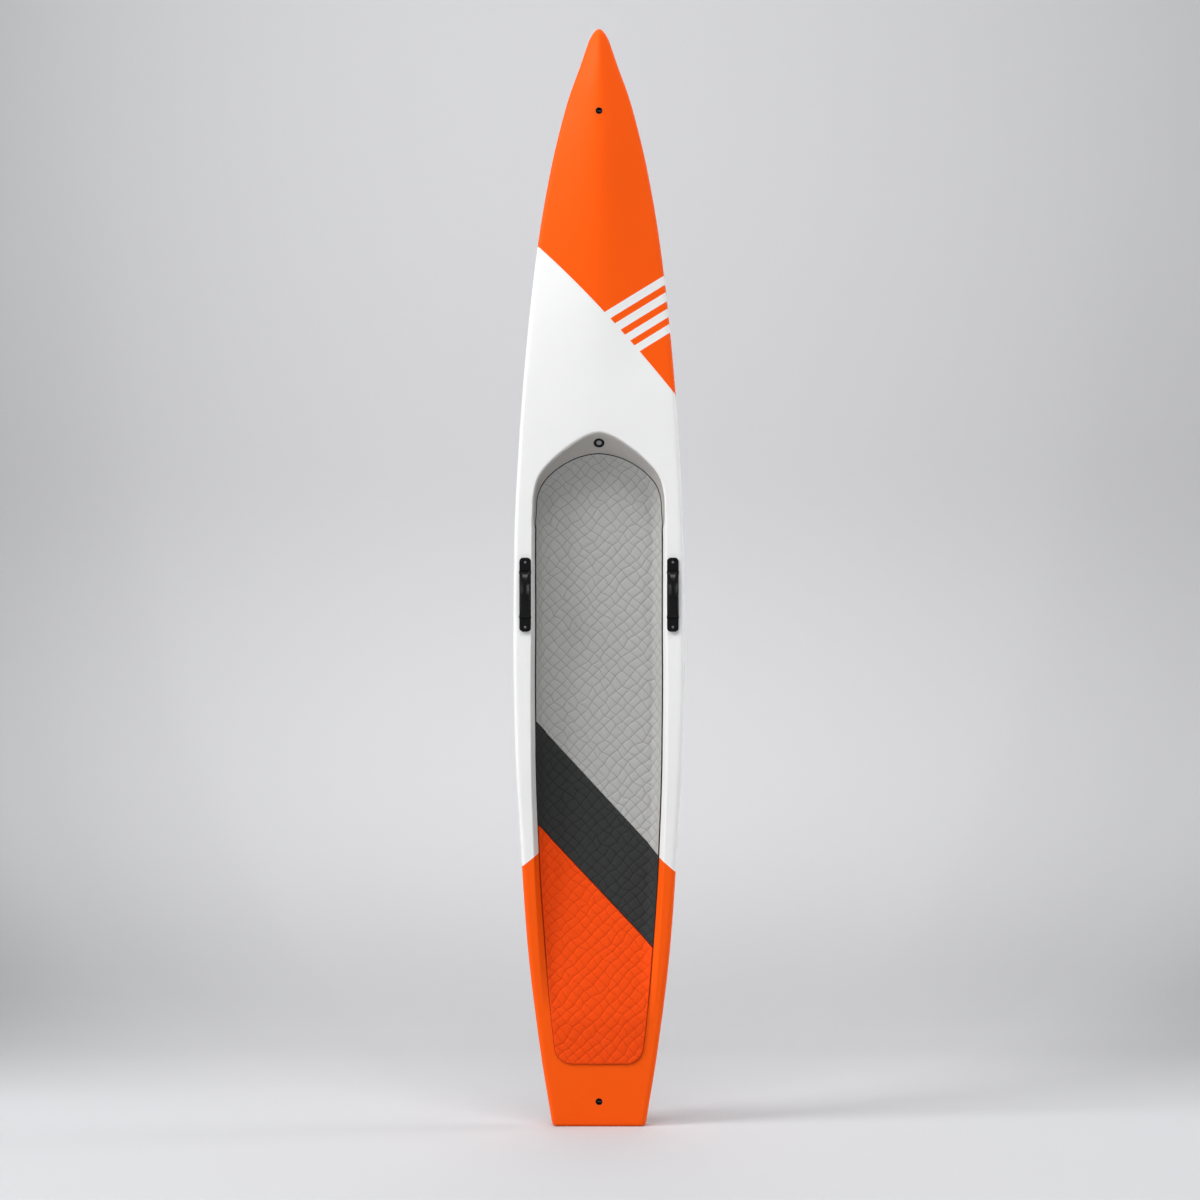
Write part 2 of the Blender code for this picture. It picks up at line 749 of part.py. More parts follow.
def make_collar(material, vent):
    sections = []
    for slice_at in fan_slices():
        start, direction, profile = well_section(**slice_at)
        wall = profile[:2]
        under = offset_profile(wall + [profile[2]], COLLAR_GAP)
        over = offset_profile(wall + [profile[2]], COLLAR_GAP + COLLAR_THICKNESS)
        length = math.hypot(wall[1][0] - wall[0][0], wall[1][1] - wall[0][1])
        trim = min(COLLAR_MARGIN / length, 0.3)
        ring = []
        for line, shares in ((under, (trim, 1 - trim)), (over, (1 - trim, trim))):
            for share in shares:
                s = wall[0][0] + (wall[1][0] - wall[0][0]) * share + line[0][0] - wall[0][0]
                y = wall[0][1] + (wall[1][1] - wall[0][1]) * share + line[0][1] - wall[0][1]
                ring.append(start + direction * s + Vector((0.0, y, 0.0)))
        sections.append(ring)
    collar = part(loft("cockpit_collar", sections, BOARD, cap_last=False), material)
    other_half = collar.modifiers.new("other_half", "MIRROR")
    other_half.merge_threshold = 0.00001
    cut(collar, cutter(cylinder("collar_vent_hole", VENT_FLANGE_RADIUS + 2 * GAP, -0.01, 0.02, vent)))


# Fittings in the deck


def centre_line_frame(name, z, point_y, rise):
    """An empty on the centre line whose local Z leaves a surface that deepens by rise for each metre up."""
    return new_empty(name, BOARD, (0.0, point_y, z), FACING_DECK - math.atan(rise))


def vent_frame():
    _, _, profile = well_section(angle=90)
    (rim, top), (edge, level) = profile[:2]
    slope = (top - level) / (rim - edge)
    z = WELL_CENTRE + rim - VENT_FROM_RIM
    return centre_line_frame("vent_axis", z, top - slope * VENT_FROM_RIM, slope)


def make_vent(vent, black, grey, rubber, cloth):
    flange = VENT_FLANGE_HEIGHT
    well = flange - VENT_HEAD_SUNK - VENT_FLANGE_HEIGHT * 0.5
    seat_radius = VENT_THREAD_RADIUS + 2.6 * VENT_RING_RADIUS
    seat = well - 2 * VENT_RING_RADIUS
    thread_end = seat - VENT_THREAD_DEPTH
    ledge = thread_end - 2 * VENT_MEMBRANE_THICKNESS
    bore = VENT_THREAD_RADIUS + GAP
    housing = turned(
        "vent_housing",
        [
            (VENT_FLANGE_RADIUS - 0.0012, flange),
            (VENT_FLANGE_RADIUS, flange - 0.0012),
            (VENT_FLANGE_RADIUS, 0.0),
            (VENT_BODY_RADIUS, 0.0),
            (VENT_BODY_RADIUS, -VENT_BODY_DEPTH),
            (VENT_PORT_RADIUS, -VENT_BODY_DEPTH),
            (VENT_PORT_RADIUS, ledge),
            (bore, ledge),
            (bore, seat),
            (seat_radius, seat),
            (seat_radius, well),
            (VENT_HEAD_RADIUS + GAP, well),
            (VENT_HEAD_RADIUS + GAP, flange),
        ],
        vent,
    )
    part(housing, black)
    neck = VENT_THREAD_RADIUS - VENT_RING_RADIUS
    under_head = well + GAP
    neck_end = seat - GAP
    plug = turned(
        "vent_plug",
        [
            (0.0, flange - 0.0004),
            (VENT_HEAD_RADIUS - 0.0008, flange - 0.0004),
            (VENT_HEAD_RADIUS, flange - 0.0012),
            (VENT_HEAD_RADIUS, under_head),
            (neck, under_head),
            (neck, neck_end),
            (VENT_THREAD_RADIUS, neck_end),
            (VENT_THREAD_RADIUS, thread_end + 2 * GAP),
            (0.0, thread_end + 2 * GAP),
        ],
        vent,
    )
    reach = VENT_HEAD_RADIUS * 0.62
    for name, size in (("slot_a", (reach, VENT_HEAD_SLOT / 2)), ("slot_b", (VENT_HEAD_SLOT / 2, reach))):
        low = (-size[0], -size[1], flange - 0.0016)
        slot = cutter(box("vent_" + name, low, (size[0], size[1], flange + 0.002), vent))
        boolean(plug, slot)
    part(plug, grey)
    ring = bpy.data.meshes.new("vent_oring")
    work = bmesh.new()
    circle = bmesh.ops.create_circle(work, segments=10, radius=VENT_RING_RADIUS - GAP)
    centre = neck + VENT_RING_RADIUS
    turn = Matrix.Translation((centre, 0.0, seat + VENT_RING_RADIUS)) @ Matrix.Rotation(math.pi / 2, 4, "X")
    bmesh.ops.transform(work, matrix=turn, verts=circle["verts"])
    work.to_mesh(ring)
    work.free()
    profile = [(v.co.x, v.co.z) for v in ring.vertices]
    bpy.data.meshes.remove(ring)
    part(turned("vent_oring", profile, vent), rubber)
    low = ledge + GAP
    membrane = cylinder("vent_membrane", VENT_MEMBRANE_RADIUS, low, low + VENT_MEMBRANE_THICKNESS, vent)
    part(membrane, cloth)


def make_leash_cup(end, frame, black, steel):
    rim = LEASH_FLANGE_RADIUS
    cup = turned(
        f"{end}_leash_cup",
        [
            (rim - 0.0008, 0.0),
            (rim, -0.0008),
            (rim, -LEASH_FLANGE_HEIGHT),
            (LEASH_BODY_RADIUS, -LEASH_FLANGE_HEIGHT),
            (LEASH_BODY_RADIUS, -LEASH_BODY_DEPTH),
            (0.0, -LEASH_BODY_DEPTH),
            (0.0, -LEASH_HOLLOW_DEPTH),
            (LEASH_HOLLOW_RADIUS, -LEASH_HOLLOW_DEPTH),
            (LEASH_HOLLOW_RADIUS, 0.0),
        ],
        frame,
    )
    part(cup, black)
    reach = (LEASH_HOLLOW_RADIUS + LEASH_BODY_RADIUS) / 2
    middle = (0.0, 0.0, -LEASH_PIN_DEPTH)
    cut(cup, cutter(cross_cylinder(f"{end}_pin_hole", LEASH_PIN_RADIUS + GAP, reach + GAP, frame, middle)))
    part(cross_cylinder(f"{end}_leash_pin", LEASH_PIN_RADIUS, reach, frame, middle), steel)


def leash_frame(end, z):
    step = 0.01
    rise = (deck_y(0.0, z + step) - deck_y(0.0, z - step)) / (2 * step)
    return centre_line_frame(f"{end}_leash_axis", z, deck_y(0.0, z), rise)


def leash_holes(end, frame, name, clearance):
    """The stepped hole that a cup sits in, as two cutters."""
    flange = cylinder(
        f"{end}_{name}_step", LEASH_FLANGE_RADIUS + clearance, -LEASH_FLANGE_HEIGHT - clearance, 0.02, frame
    )
    body = cylinder(
        f"{end}_{name}_bore", LEASH_BODY_RADIUS + clearance, -LEASH_BODY_DEPTH - clearance, 0.02, frame
    )
    return cutter(flange), cutter(body)


# Handles


def handle_frame(side):
    x = rim_x(HANDLE_CENTRE) + HANDLE_SETBACK + HANDLE_WIDTH / 2
    name = "handle_axis_" + ("right" if side > 0 else "left")
    return new_empty(name, BOARD, (side * x, -rail_height(HANDLE_CENTRE), HANDLE_CENTRE), FACING_DECK)


def block_shift(handle_x):
    """How far the block sits in from under the handle's middle, to stay inside the rail's rounding."""
    ends = (HANDLE_CENTRE - HANDLE_BLOCK_LENGTH / 2, HANDLE_CENTRE + HANDLE_BLOCK_LENGTH / 2)
    room = min(top_half_width(z) for z in ends) - RAIL_RADIUS - SKIN
    return max(0.0, handle_x + HANDLE_BLOCK_WIDTH / 2 - room)


def grip_section(along):
    """The grip's section at a place along it: half its width, its underside and its top."""
    base = HANDLE_BASE_HEIGHT + 2 * GAP
    reach = abs(along)
    half_span = GRIP_SPAN / 2
    if reach >= half_span:
        from_end = HANDLE_LENGTH / 2 - reach
        short = max(0.0, HANDLE_CORNER - from_end)
        round_off = HANDLE_CORNER - math.sqrt(max(0.0, HANDLE_CORNER**2 - short**2))
        return HANDLE_WIDTH / 2 - GAP - round_off, base, base + HANDLE_PAD_HEIGHT
    arch = math.sin(math.pi / 2 * (1 - reach / half_span)) ** 0.85
    half = (GRIP_SHOULDER_WIDTH + (GRIP_WAIST_WIDTH - GRIP_SHOULDER_WIDTH) * arch) / 2
    under = base + GRIP_RISE * arch
    thick = HANDLE_PAD_HEIGHT + (GRIP_THICKNESS - HANDLE_PAD_HEIGHT) * min(1.0, 3 * arch)
    return half, under, under + thick


def grip_ring(along):
    half, under, over = grip_section(along)
    middle, tall = (under + over) / 2, (over - under) / 2
    chamfer = min(0.35 * tall, 0.2 * half)
    corners = (
        (half, -tall + chamfer),
        (half, tall - chamfer),
        (half - 2 * chamfer, tall),
        (-half + 2 * chamfer, tall),
        (-half, tall - chamfer),
        (-half, -tall + chamfer),
        (-half + chamfer, -tall),
        (half - chamfer, -tall),
    )
    return [Vector((x, along, middle + height)) for x, height in corners]


def grip_places():
    end, span = HANDLE_LENGTH / 2, GRIP_SPAN / 2
    turn = [HANDLE_CORNER * (1 - math.cos(math.radians(a))) for a in (20, 45, 90)]
    half = [end - t for t in turn] + [span + 0.001]
    half += [span * share for share in (0.985, 0.93, 0.86, 0.76, 0.64, 0.5, 0.33, 0.17)]
    return half + [0.0] + [-p for p in reversed(half)]


def make_handle(side, black, steel, brass, foam):
    word = "right" if side > 0 else "left"
    frame = handle_frame(side)
    outline = rounded_outline(HANDLE_WIDTH, HANDLE_LENGTH, HANDLE_CORNER)
    base = part(plate(f"handle_base_{word}", outline, GAP, GAP + HANDLE_BASE_HEIGHT, frame), black)
    grip = part(loft(f"handle_grip_{word}", [grip_ring(p) for p in grip_places()], frame), black)
    pad_top = HANDLE_BASE_HEIGHT + 2 * GAP + HANDLE_PAD_HEIGHT
    head_seat = pad_top - HANDLE_HEAD_HEIGHT - GAP
    deep = head_seat - HANDLE_SCREW_GRIP - HANDLE_PAD_HEIGHT
    block_x = -side * block_shift(side * frame.location.x)
    low = Vector((block_x - HANDLE_BLOCK_WIDTH / 2, -HANDLE_BLOCK_LENGTH / 2, -SKIN - GAP - HANDLE_BLOCK_DEPTH))
    high = Vector((block_x + HANDLE_BLOCK_WIDTH / 2, HANDLE_BLOCK_LENGTH / 2, -SKIN - GAP))
    block = part(box(f"handle_block_{word}", low, high, frame), foam)
    holes = []
    for end, direction in (("upper", 1), ("lower", -1)):
        tag = f"{word}_{end}"
        at = (0.0, direction * (HANDLE_LENGTH / 2 - HANDLE_SCREW_INSET))
        screw = turned(
            f"handle_screw_{tag}",
            [
                (0.0, head_seat + HANDLE_HEAD_HEIGHT),
                (HANDLE_HEAD_RADIUS * 0.8, head_seat + HANDLE_HEAD_HEIGHT),
                (HANDLE_HEAD_RADIUS, head_seat + HANDLE_HEAD_HEIGHT / 2),
                (HANDLE_HEAD_RADIUS, head_seat + GAP),
                (HANDLE_SCREW_RADIUS, head_seat + GAP),
                (HANDLE_SCREW_RADIUS, deep),
                (0.0, deep),
            ],
            frame,
        )
        screw.location = (*at, 0.0)
        part(screw, steel)
        bore = HANDLE_SCREW_RADIUS + GAP
        insert = turned(
            f"handle_insert_{tag}",
            [
                (INSERT_RADIUS, -GAP),
                (INSERT_RADIUS, -INSERT_LENGTH),
                (0.0, -INSERT_LENGTH),
                (0.0, min(deep - GAP, -INSERT_LENGTH / 2)),
                (bore, min(deep - GAP, -INSERT_LENGTH / 2)),
                (bore, -GAP),
            ],
            frame,
        )
        insert.location = (*at, 0.0)
        part(insert, brass)
        shank = cutter(cylinder(f"shank_hole_{tag}", bore, -0.001, 0.03, frame, at))
        head = cutter(cylinder(f"head_hole_{tag}", HANDLE_HEAD_RADIUS + GAP, head_seat, 0.03, frame, at))
        seat = cutter(cylinder(f"insert_hole_{tag}", INSERT_RADIUS + GAP, -INSERT_LENGTH - GAP, 0.001, frame, at))
        cut(base, shank)
        cut(grip, shank, head)
        cut(block, seat)
        holes.append(seat)
    grown = Vector((GAP, GAP, GAP))
    room = cutter(box(f"handle_block_room_{word}", low - grown, (high.x + GAP, high.y + GAP, 0.0), frame))
    return holes, room


# Fin and fin box


def fin_frame():
    """Local Z leaves the hull, local Y runs towards the tail, and the origin is the slot's middle."""
    z = FIN_BOX_REAR + FIN_BOX_LENGTH / 2
    return new_empty("fin_box_axis", BOARD, (0.0, keel_depth(z), z), FACING_HULL)


def make_fin_box(frame, black, foam):
    outline = rounded_outline(FIN_BOX_WIDTH, FIN_BOX_LENGTH, FIN_BOX_WIDTH / 2 - 0.001)
    body = part(plate("fin_box", outline, -FIN_BOX_DEPTH, 0.0, frame), black)
    half, wide = FIN_SLOT_LENGTH / 2, FIN_SLOT_WIDTH / 2
    groove_top = -FIN_GROOVE_DEPTH
    groove_wide = FIN_GROOVE_WIDTH / 2
    slot = box("fin_slot", (-wide, -half, -FIN_SLOT_DEPTH), (wide, half, 0.01), frame)
    groove_low = groove_top - FIN_GROOVE_HEIGHT
    groove = box("fin_groove", (-groove_wide, -half + GAP, groove_low), (groove_wide, half - GAP, groove_top), frame)
    drop_low = -half + 2 * GAP
    drop_high = drop_low + FIN_NUT_LENGTH + 4 * FIN_CLEARANCE
    drop = box("fin_drop_in", (-groove_wide + GAP, drop_low, groove_low + GAP), (groove_wide - GAP, drop_high, 0.01), frame)
    cut(body, cutter(slot), cutter(groove), cutter(drop))
    side = FIN_BLOCK_MARGIN
    low = (-FIN_BOX_WIDTH / 2 - side, -FIN_BOX_LENGTH / 2 - side, -FIN_BOX_DEPTH - side)
    high = (FIN_BOX_WIDTH / 2 + side, FIN_BOX_LENGTH / 2 + side, -SKIN - GAP)
    block = part(box("fin_box_block", low, high, frame), foam)
    pocket_outline = rounded_outline(
        FIN_BOX_WIDTH + 2 * GAP, FIN_BOX_LENGTH + 2 * GAP, FIN_BOX_WIDTH / 2 - 0.001 + GAP
    )
    pocket = cutter(plate("fin_pocket", pocket_outline, -FIN_BOX_DEPTH - GAP, 0.01, frame))
    cut(block, pocket)
    grown = Vector((GAP, GAP, GAP))
    room = cutter(box("fin_block_room", Vector(low) - grown, (high[0] + GAP, high[1] + GAP, 0.0), frame))
    return pocket, room


def fin_blade_ring(height):
    """The blade's foil at a height off the hull, which narrows and sweeps back towards the tip."""
    share = height / FIN_HEIGHT
    chord = FIN_BASE_LENGTH + (FIN_TIP_CHORD - FIN_BASE_LENGTH) * share**1.15
    chord *= math.sqrt(max(1 - max(0.0, (share - 0.8) / 0.2) ** 2 * 0.75, 0.0))
    thick = FIN_THICKNESS / 2 * (1 - 0.45 * share)
    front = -FIN_BASE_LENGTH / 2 + FIN_SWEEP * share**1.5
    ring = []
    for along in (0.0, 0.06, 0.2, 0.45, 0.75):
        ring.append((along, 1.0 if 0.2 <= along <= 0.45 else {0.0: 0.18, 0.06: 0.6, 0.75: 0.62}[along]))
    ring.append((1.0, 0.12))
    right = [Vector((thick * width, front + chord * along, height)) for along, width in ring]
    return right + [Vector((-p.x, p.y, p.z)) for p in reversed(right)]


def make_fin(frame, black, steel, brass):
    wide = FIN_THICKNESS / 2
    half = FIN_BASE_LENGTH / 2
    base = box("fin_base", (-wide, -half, -FIN_BASE_DEPTH), (wide, half, 0.003), frame)
    heights = [0.0018] + [FIN_HEIGHT * share for share in (0.08, 0.2, 0.35, 0.5, 0.65, 0.8, 0.9, 0.96, 1.0)]
    fin = loft("fin", [fin_blade_ring(height) for height in heights], frame)
    tongue_high = -FIN_CLEARANCE
    tongue_low = tongue_high - FIN_TONGUE_HEIGHT
    tongue = box("fin_tongue", (-wide, -half - FIN_TONGUE_LENGTH, tongue_low), (wide, -half + 0.004, tongue_high), frame)
    boolean(fin, cutter(base), "UNION")
    boolean(fin, cutter(tongue), "UNION")
    pin_z = -FIN_GROOVE_DEPTH - FIN_GROOVE_HEIGHT / 2
    pin_at = (0.0, half - FIN_PIN_INSET, pin_z)
    pin_half = FIN_GROOVE_WIDTH / 2 - FIN_CLEARANCE
    cut(fin, cutter(cross_cylinder("fin_pin_hole", FIN_PIN_RADIUS + GAP, wide + 0.01, frame, pin_at)))
    part(cross_cylinder("fin_pin", FIN_PIN_RADIUS, pin_half, frame, pin_at), steel)
    screw_y = -half - FIN_TONGUE_LENGTH / 2
    head_seat = tongue_high - FIN_SCREW_HEAD_HEIGHT - GAP
    nut_high = -FIN_GROOVE_DEPTH - FIN_CLEARANCE
    nut_low = nut_high - FIN_NUT_HEIGHT
    bore = FIN_SCREW_RADIUS + GAP
    shank_hole = cutter(cylinder("fin_screw_hole", bore, -0.03, 0.01, frame, (0.0, screw_y)))
    head_hole = cutter(cylinder("fin_head_hole", FIN_SCREW_HEAD_RADIUS + GAP, head_seat, 0.01, frame, (0.0, screw_y)))
    cut(fin, shank_hole, head_hole)
    part(fin, black)
    nut = box(
        "fin_nut_plate",
        (-pin_half, screw_y - FIN_NUT_LENGTH / 2, nut_low),
        (pin_half, screw_y + FIN_NUT_LENGTH / 2, nut_high),
        frame,
    )
    cut(nut, shank_hole)
    part(nut, brass)
    screw = turned(
        "fin_screw",
        [
            (0.0, head_seat + GAP + FIN_SCREW_HEAD_HEIGHT),
            (FIN_SCREW_HEAD_RADIUS, head_seat + GAP + FIN_SCREW_HEAD_HEIGHT),
            (FIN_SCREW_HEAD_RADIUS, head_seat + GAP),
            (FIN_SCREW_RADIUS, head_seat + GAP),
            (FIN_SCREW_RADIUS, nut_low - 0.002),
            (0.0, nut_low - 0.002),
        ],
        frame,
    )
    screw.location = (0.0, screw_y, 0.0)
    part(screw, steel)


# Shells and core


def make_shells(white, holes_in_deck, holes_in_well, fin_pocket):
    cavity = cutter(board_solid("core_cavity", SKIN, True, True))
    deck = board_solid("deck_shell", 0.0, True, False)
    cut(deck, cavity, well_solid("well_opening", SKIN + GAP))
    # The exact solver leaves open edges where the vent's seat is cut, so the other one cuts the holes.
    cut(deck, *holes_in_deck, solver="MANIFOLD")
    seam = box("seam_gap", (-1.0, -GAP, -0.1), (1.0, 0.1, BOARD_LENGTH + 0.1), BOARD)
    cut(deck, cutter(seam))
    part(deck, white)
    tray = board_solid("standing_well", 0.0, True, False)
    boolean(tray, well_solid("well_tray", SKIN), "INTERSECT")
    cut(tray, well_solid("well_air", 0.0))
    cut(tray, *holes_in_well, solver="MANIFOLD")
    part(tray, white)
    hull = board_solid("hull_shell", 0.0, False, True)
    cut(hull, cavity, fin_pocket)
    part(hull, white)


def core_side(z, inset, aside):
    """The right half of the core's section, cut off this far beside the centre line."""
    deck, hull = deck_half(z, inset), hull_half(z, inset)
    deck[0] = deck[0].lerp(deck[1], aside / deck[1].x)
    hull[-1] = hull[-1].lerp(hull[-2], aside / hull[-2].x)
    return deck + hull


def core_half(name, inset, side):
    """One half of the core, from its flat face beside the stringer out to the rail."""
    rings = []
    for z in station_heights(inset):
        section = core_side(z, inset, STRINGER_WIDTH / 2 + GAP)
        rings.append([Vector((side * p.x, p.y, p.z)) for p in section])
    return loft(name, rings, BOARD)


def stringer_web(name, inset):
    rings = []
    for z in station_heights(inset):
        section = core_side(z, inset, STRINGER_WIDTH / 2)
        rings.append(mirrored([section[0], section[-1]]))
    return loft(name, rings, BOARD)


def make_core(foam, wood, rooms):
    inset = SKIN + CORE_GAP
    well_room = well_solid("well_under_core", inset)
    pieces = (
        (core_half("foam_core_right", inset, 1), foam),
        (core_half("foam_core_left", inset, -1), foam),
        (stringer_web("stringer", inset), wood),
    )
    for piece, material in pieces:
        # The exact solver returns nothing for these, so the core is cut by the other one.
        cut(piece, well_room, *rooms, solver="MANIFOLD")
        part(piece, material)


clear_scene()
PARTS = new_collection("paddleboard")
CUTTERS = new_collection("cutters")
BOARD = new_empty("board", None, (0.0, SEAM_Y, 0.0))

white_paint = new_material("white_paint", (0.88, 0.88, 0.87), 0.3)
grey_foam = new_material("grey_foam", (0.34, 0.34, 0.33), 0.9)
plain_foam = new_material("plain_grey_foam", (0.26, 0.25, 0.24), 0.8)
charcoal_foam = new_material("charcoal_foam", (0.035, 0.036, 0.035), 0.9)
orange_foam = new_material("orange_foam", (0.85, 0.08, 0.01), 0.9)
black_plastic = new_material("black_plastic", (0.012, 0.012, 0.013), 0.45)
black_rubber = new_material("black_rubber", (0.02, 0.02, 0.02), 0.8)
grey_metal = new_material("grey_metal", (0.35, 0.35, 0.36), 0.35, 1.0)
steel = new_material("stainless_steel", (0.6, 0.6, 0.6), 0.3, 1.0)
brass = new_material("brass", (0.65, 0.45, 0.15), 0.35, 1.0)
core_foam = new_material("core_foam", (0.85, 0.86, 0.85), 0.95)
dense_foam = new_material("dense_foam", (0.75, 0.6, 0.3), 0.9)
paulownia = new_material("stringer_wood", (0.62, 0.42, 0.22), 0.7)
membrane_cloth = new_material("membrane_cloth", (0.9, 0.9, 0.9), 0.9)

vent_axis = vent_frame()
bow_axis = leash_frame("bow", BOARD_LENGTH - BOW_LEASH_FROM_NOSE)
tail_axis = leash_frame("tail", TAIL_LEASH_FROM_TAIL)
fin_axis = fin_frame()

make_vent(vent_axis, black_plastic, grey_metal, black_rubber, membrane_cloth)
make_leash_cup("bow", bow_axis, black_plastic, steel)
make_leash_cup("tail", tail_axis, black_plastic, steel)
make_pads(grey_foam, charcoal_foam, orange_foam)
make_collar(plain_foam, vent_axis)
left_holes, left_room = make_handle(-1, black_plastic, steel, brass, dense_foam)
right_holes, right_room = make_handle(1, black_plastic, steel, brass, dense_foam)
fin_pocket, fin_room = make_fin_box(fin_axis, black_plastic, dense_foam)
make_fin(fin_axis, black_plastic, steel, brass)

vent_seat = cutter(cylinder("vent_seat", VENT_FLANGE_RADIUS + GAP, -GAP, 0.02, vent_axis))
vent_bore = cutter(cylinder("vent_bore", VENT_BODY_RADIUS + GAP, -VENT_BODY_DEPTH - GAP, 0.02, vent_axis))
bow_holes = leash_holes("bow", bow_axis, "cup", GAP)
tail_holes = leash_holes("tail", tail_axis, "cup", GAP)
deck_holes = [*bow_holes, *tail_holes, *left_holes, *right_holes]
make_shells(white_paint, deck_holes, [vent_seat, vent_bore], fin_pocket)
make_core(core_foam, paulownia, [vent_bore, bow_holes[1], tail_holes[1], left_room, right_room, fin_room])
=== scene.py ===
"""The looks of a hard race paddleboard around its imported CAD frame, in metres.

The board stands on its tail with the deck towards -Y and the nose up. Shapes are made about the seam
between deck and hull, which lies at SEAM_Y in the frame.
"""

import math
from bisect import bisect_right

import bmesh
import bpy
import numpy as np
from mathutils import Matrix, Vector, noise


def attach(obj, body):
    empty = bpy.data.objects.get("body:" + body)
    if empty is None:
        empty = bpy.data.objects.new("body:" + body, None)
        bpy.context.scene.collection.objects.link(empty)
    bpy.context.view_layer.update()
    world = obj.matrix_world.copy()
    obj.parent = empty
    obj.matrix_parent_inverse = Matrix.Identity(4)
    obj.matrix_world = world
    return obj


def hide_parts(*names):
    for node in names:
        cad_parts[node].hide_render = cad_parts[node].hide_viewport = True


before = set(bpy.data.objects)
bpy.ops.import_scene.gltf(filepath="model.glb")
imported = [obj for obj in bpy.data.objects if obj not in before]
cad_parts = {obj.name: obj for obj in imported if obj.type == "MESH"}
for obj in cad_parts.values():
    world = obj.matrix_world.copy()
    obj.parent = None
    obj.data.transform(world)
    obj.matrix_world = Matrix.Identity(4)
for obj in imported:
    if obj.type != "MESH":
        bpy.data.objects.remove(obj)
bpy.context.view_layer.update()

# The board's sizes and shape, as in the CAD model

BOARD_LENGTH = 4.267
HALF_WIDTH = 0.3345
RAIL_HEIGHT = 0.134
KEEL_DEPTH = 0.064
CROWN_HEIGHT = 0.05
SKIN = 0.004
SEAM_Y = 0.017874
SEAM_GAP = 0.0003
OUTLINE = (
    (0.0, 0.546), (0.07, 0.689), (0.165, 0.835), (0.26, 0.918), (0.34, 0.975), (0.43, 1.0), (0.53, 0.989),
    (0.62, 0.935), (0.715, 0.84), (0.797, 0.723), (0.867, 0.574), (0.926, 0.394), (0.97, 0.211), (1.0, 0.079),
)
RAIL_LINE = (
    (0.0, 0.582), (0.1, 0.672), (0.14, 0.746), (0.21, 0.866), (0.28, 0.955), (0.33, 1.0), (0.64, 1.0),
    (0.77, 0.84), (0.89, 0.63), (0.96, 0.43), (1.0, 0.24),
)
CROWN_LINE = ((0.0, 0.0), (0.58, 0.0), (0.66, 0.16), (0.78, 0.72), (0.88, 1.0), (0.95, 0.86), (1.0, 0.3))
KEEL_LINE = (
    (0.0, 0.66), (0.05, 0.78), (0.15, 0.78), (0.22, 0.9), (0.3, 0.97), (0.4, 1.0), (0.55, 0.99), (0.7, 0.95),
    (0.8, 0.9), (0.9, 0.8), (0.96, 0.66), (1.0, 0.46),
)
VEE_LINE = ((0.0, 0.0), (0.5, 0.0), (0.7, 0.25), (0.85, 0.6), (0.95, 0.85), (1.0, 0.85))
TUMBLEHOME = 0.010
RAIL_LEAN = 0.005
RAIL_RADIUS = 0.016
CHINE_WIDTH = 0.075
RIDGE_ROUNDING = 0.3
VEE_POWER = 1.6
TAIL_EDGE_RADIUS = 0.012
TIP_LENGTH = 0.05
NOSE_SLIM = 0.0032
NOSE_SLIM_START = 0.26
NOSE_SLIM_RISE = 0.12
NOSE_SLIM_FALL = 0.035

WELL_CENTRE = 2.314
WELL_FLOOR_HEIGHT = 0.022
RAMP_START = 1.65
RAMP_END = 0.42
RAMP_POWER = 2.6
COLLAR_REACH = 0.379
PAD_REACH = 0.2975
GUNWALE_WIDTH = 0.0635
GUNWALE_LINE = (
    (0.057, 0.33), (0.105, 0.43), (0.164, 0.575), (0.246, 0.68), (0.368, 0.9), (0.457, 1.0), (0.542, 0.976),
)
WALL_WIDTH = 0.0145
WALL_LINE = (
    (0.057, 1.79), (0.105, 1.66), (0.164, 1.45), (0.246, 1.1), (0.368, 1.0), (0.457, 0.86), (0.542, 0.655),
)
COLLAR_OUTLINE = (
    (0, 0.0), (14.4, 0.062), (29.1, 0.248), (35.0, 0.34), (41.3, 0.436), (48.0, 0.5), (55.6, 0.548),
    (64.0, 0.625), (71.6, 0.71), (78.2, 0.815), (84.6, 0.926), (90, 1.0),
)
PAD_OUTLINE = (
    (0, 0.0), (15, 0.15), (25.6, 0.446), (33.0, 0.645), (39.3, 0.745), (47.0, 0.8), (56.9, 0.835),
    (65.0, 0.87), (73.4, 0.923), (90, 1.0),
)
WALL_SHARE = 0.5
SIDE_FILLET = 0.045
FRONT_FILLET = 0.14
PEAK_ROUNDING = 2.5
RIM_ROUNDING = 0.0032

PAD_GAP = 0.0004
PAD_THICKNESS = 0.005
PAD_REAR = 0.243
PAD_REAR_RADIUS = 0.06
PAD_JOIN_GAP = 0.0008
SHEET_HALF_WIDTH = 0.36
COLLAR_GAP = 0.0008
COLLAR_THICKNESS = 0.003
COLLAR_MARGIN = 0.0035
COLLAR_END = 3.0

# Painted fields and pad joins, as heights over the distance to the right of the centre line

BOW_LINE = (3.1755, -1.065, -0.30)
STRIPE_TOP = 3.1387
STRIPE_SLOPE = 0.625
STRIPE_STEPS = (0.0, 0.0377, 0.0683, 0.1060, 0.1362, 0.1710, 0.2000, 0.2348)
TAIL_PEAK = 1.246
TAIL_SLOPES = (0.79, 0.8655)
PAD_LINES = ((1.3005, 1.078), (0.9175, 1.0575))
BOW_SPAN = (2.6, 3.7)
STRIPE_SPAN = (2.7, 3.5)
TAIL_SPAN = (0.8, 1.4)

# Tiles of the deck pads

TILE = 0.034
TILE_STEPS = 3
TILE_JITTER = 0.28
TILE_SEED = 11
GROOVE_WIDTH = 0.001
GROOVE_DEPTH = 0.0005
TILE_SWELL = 0.0001
TILE_WARP = 0.0062
PAD_BEVEL = 0.0024


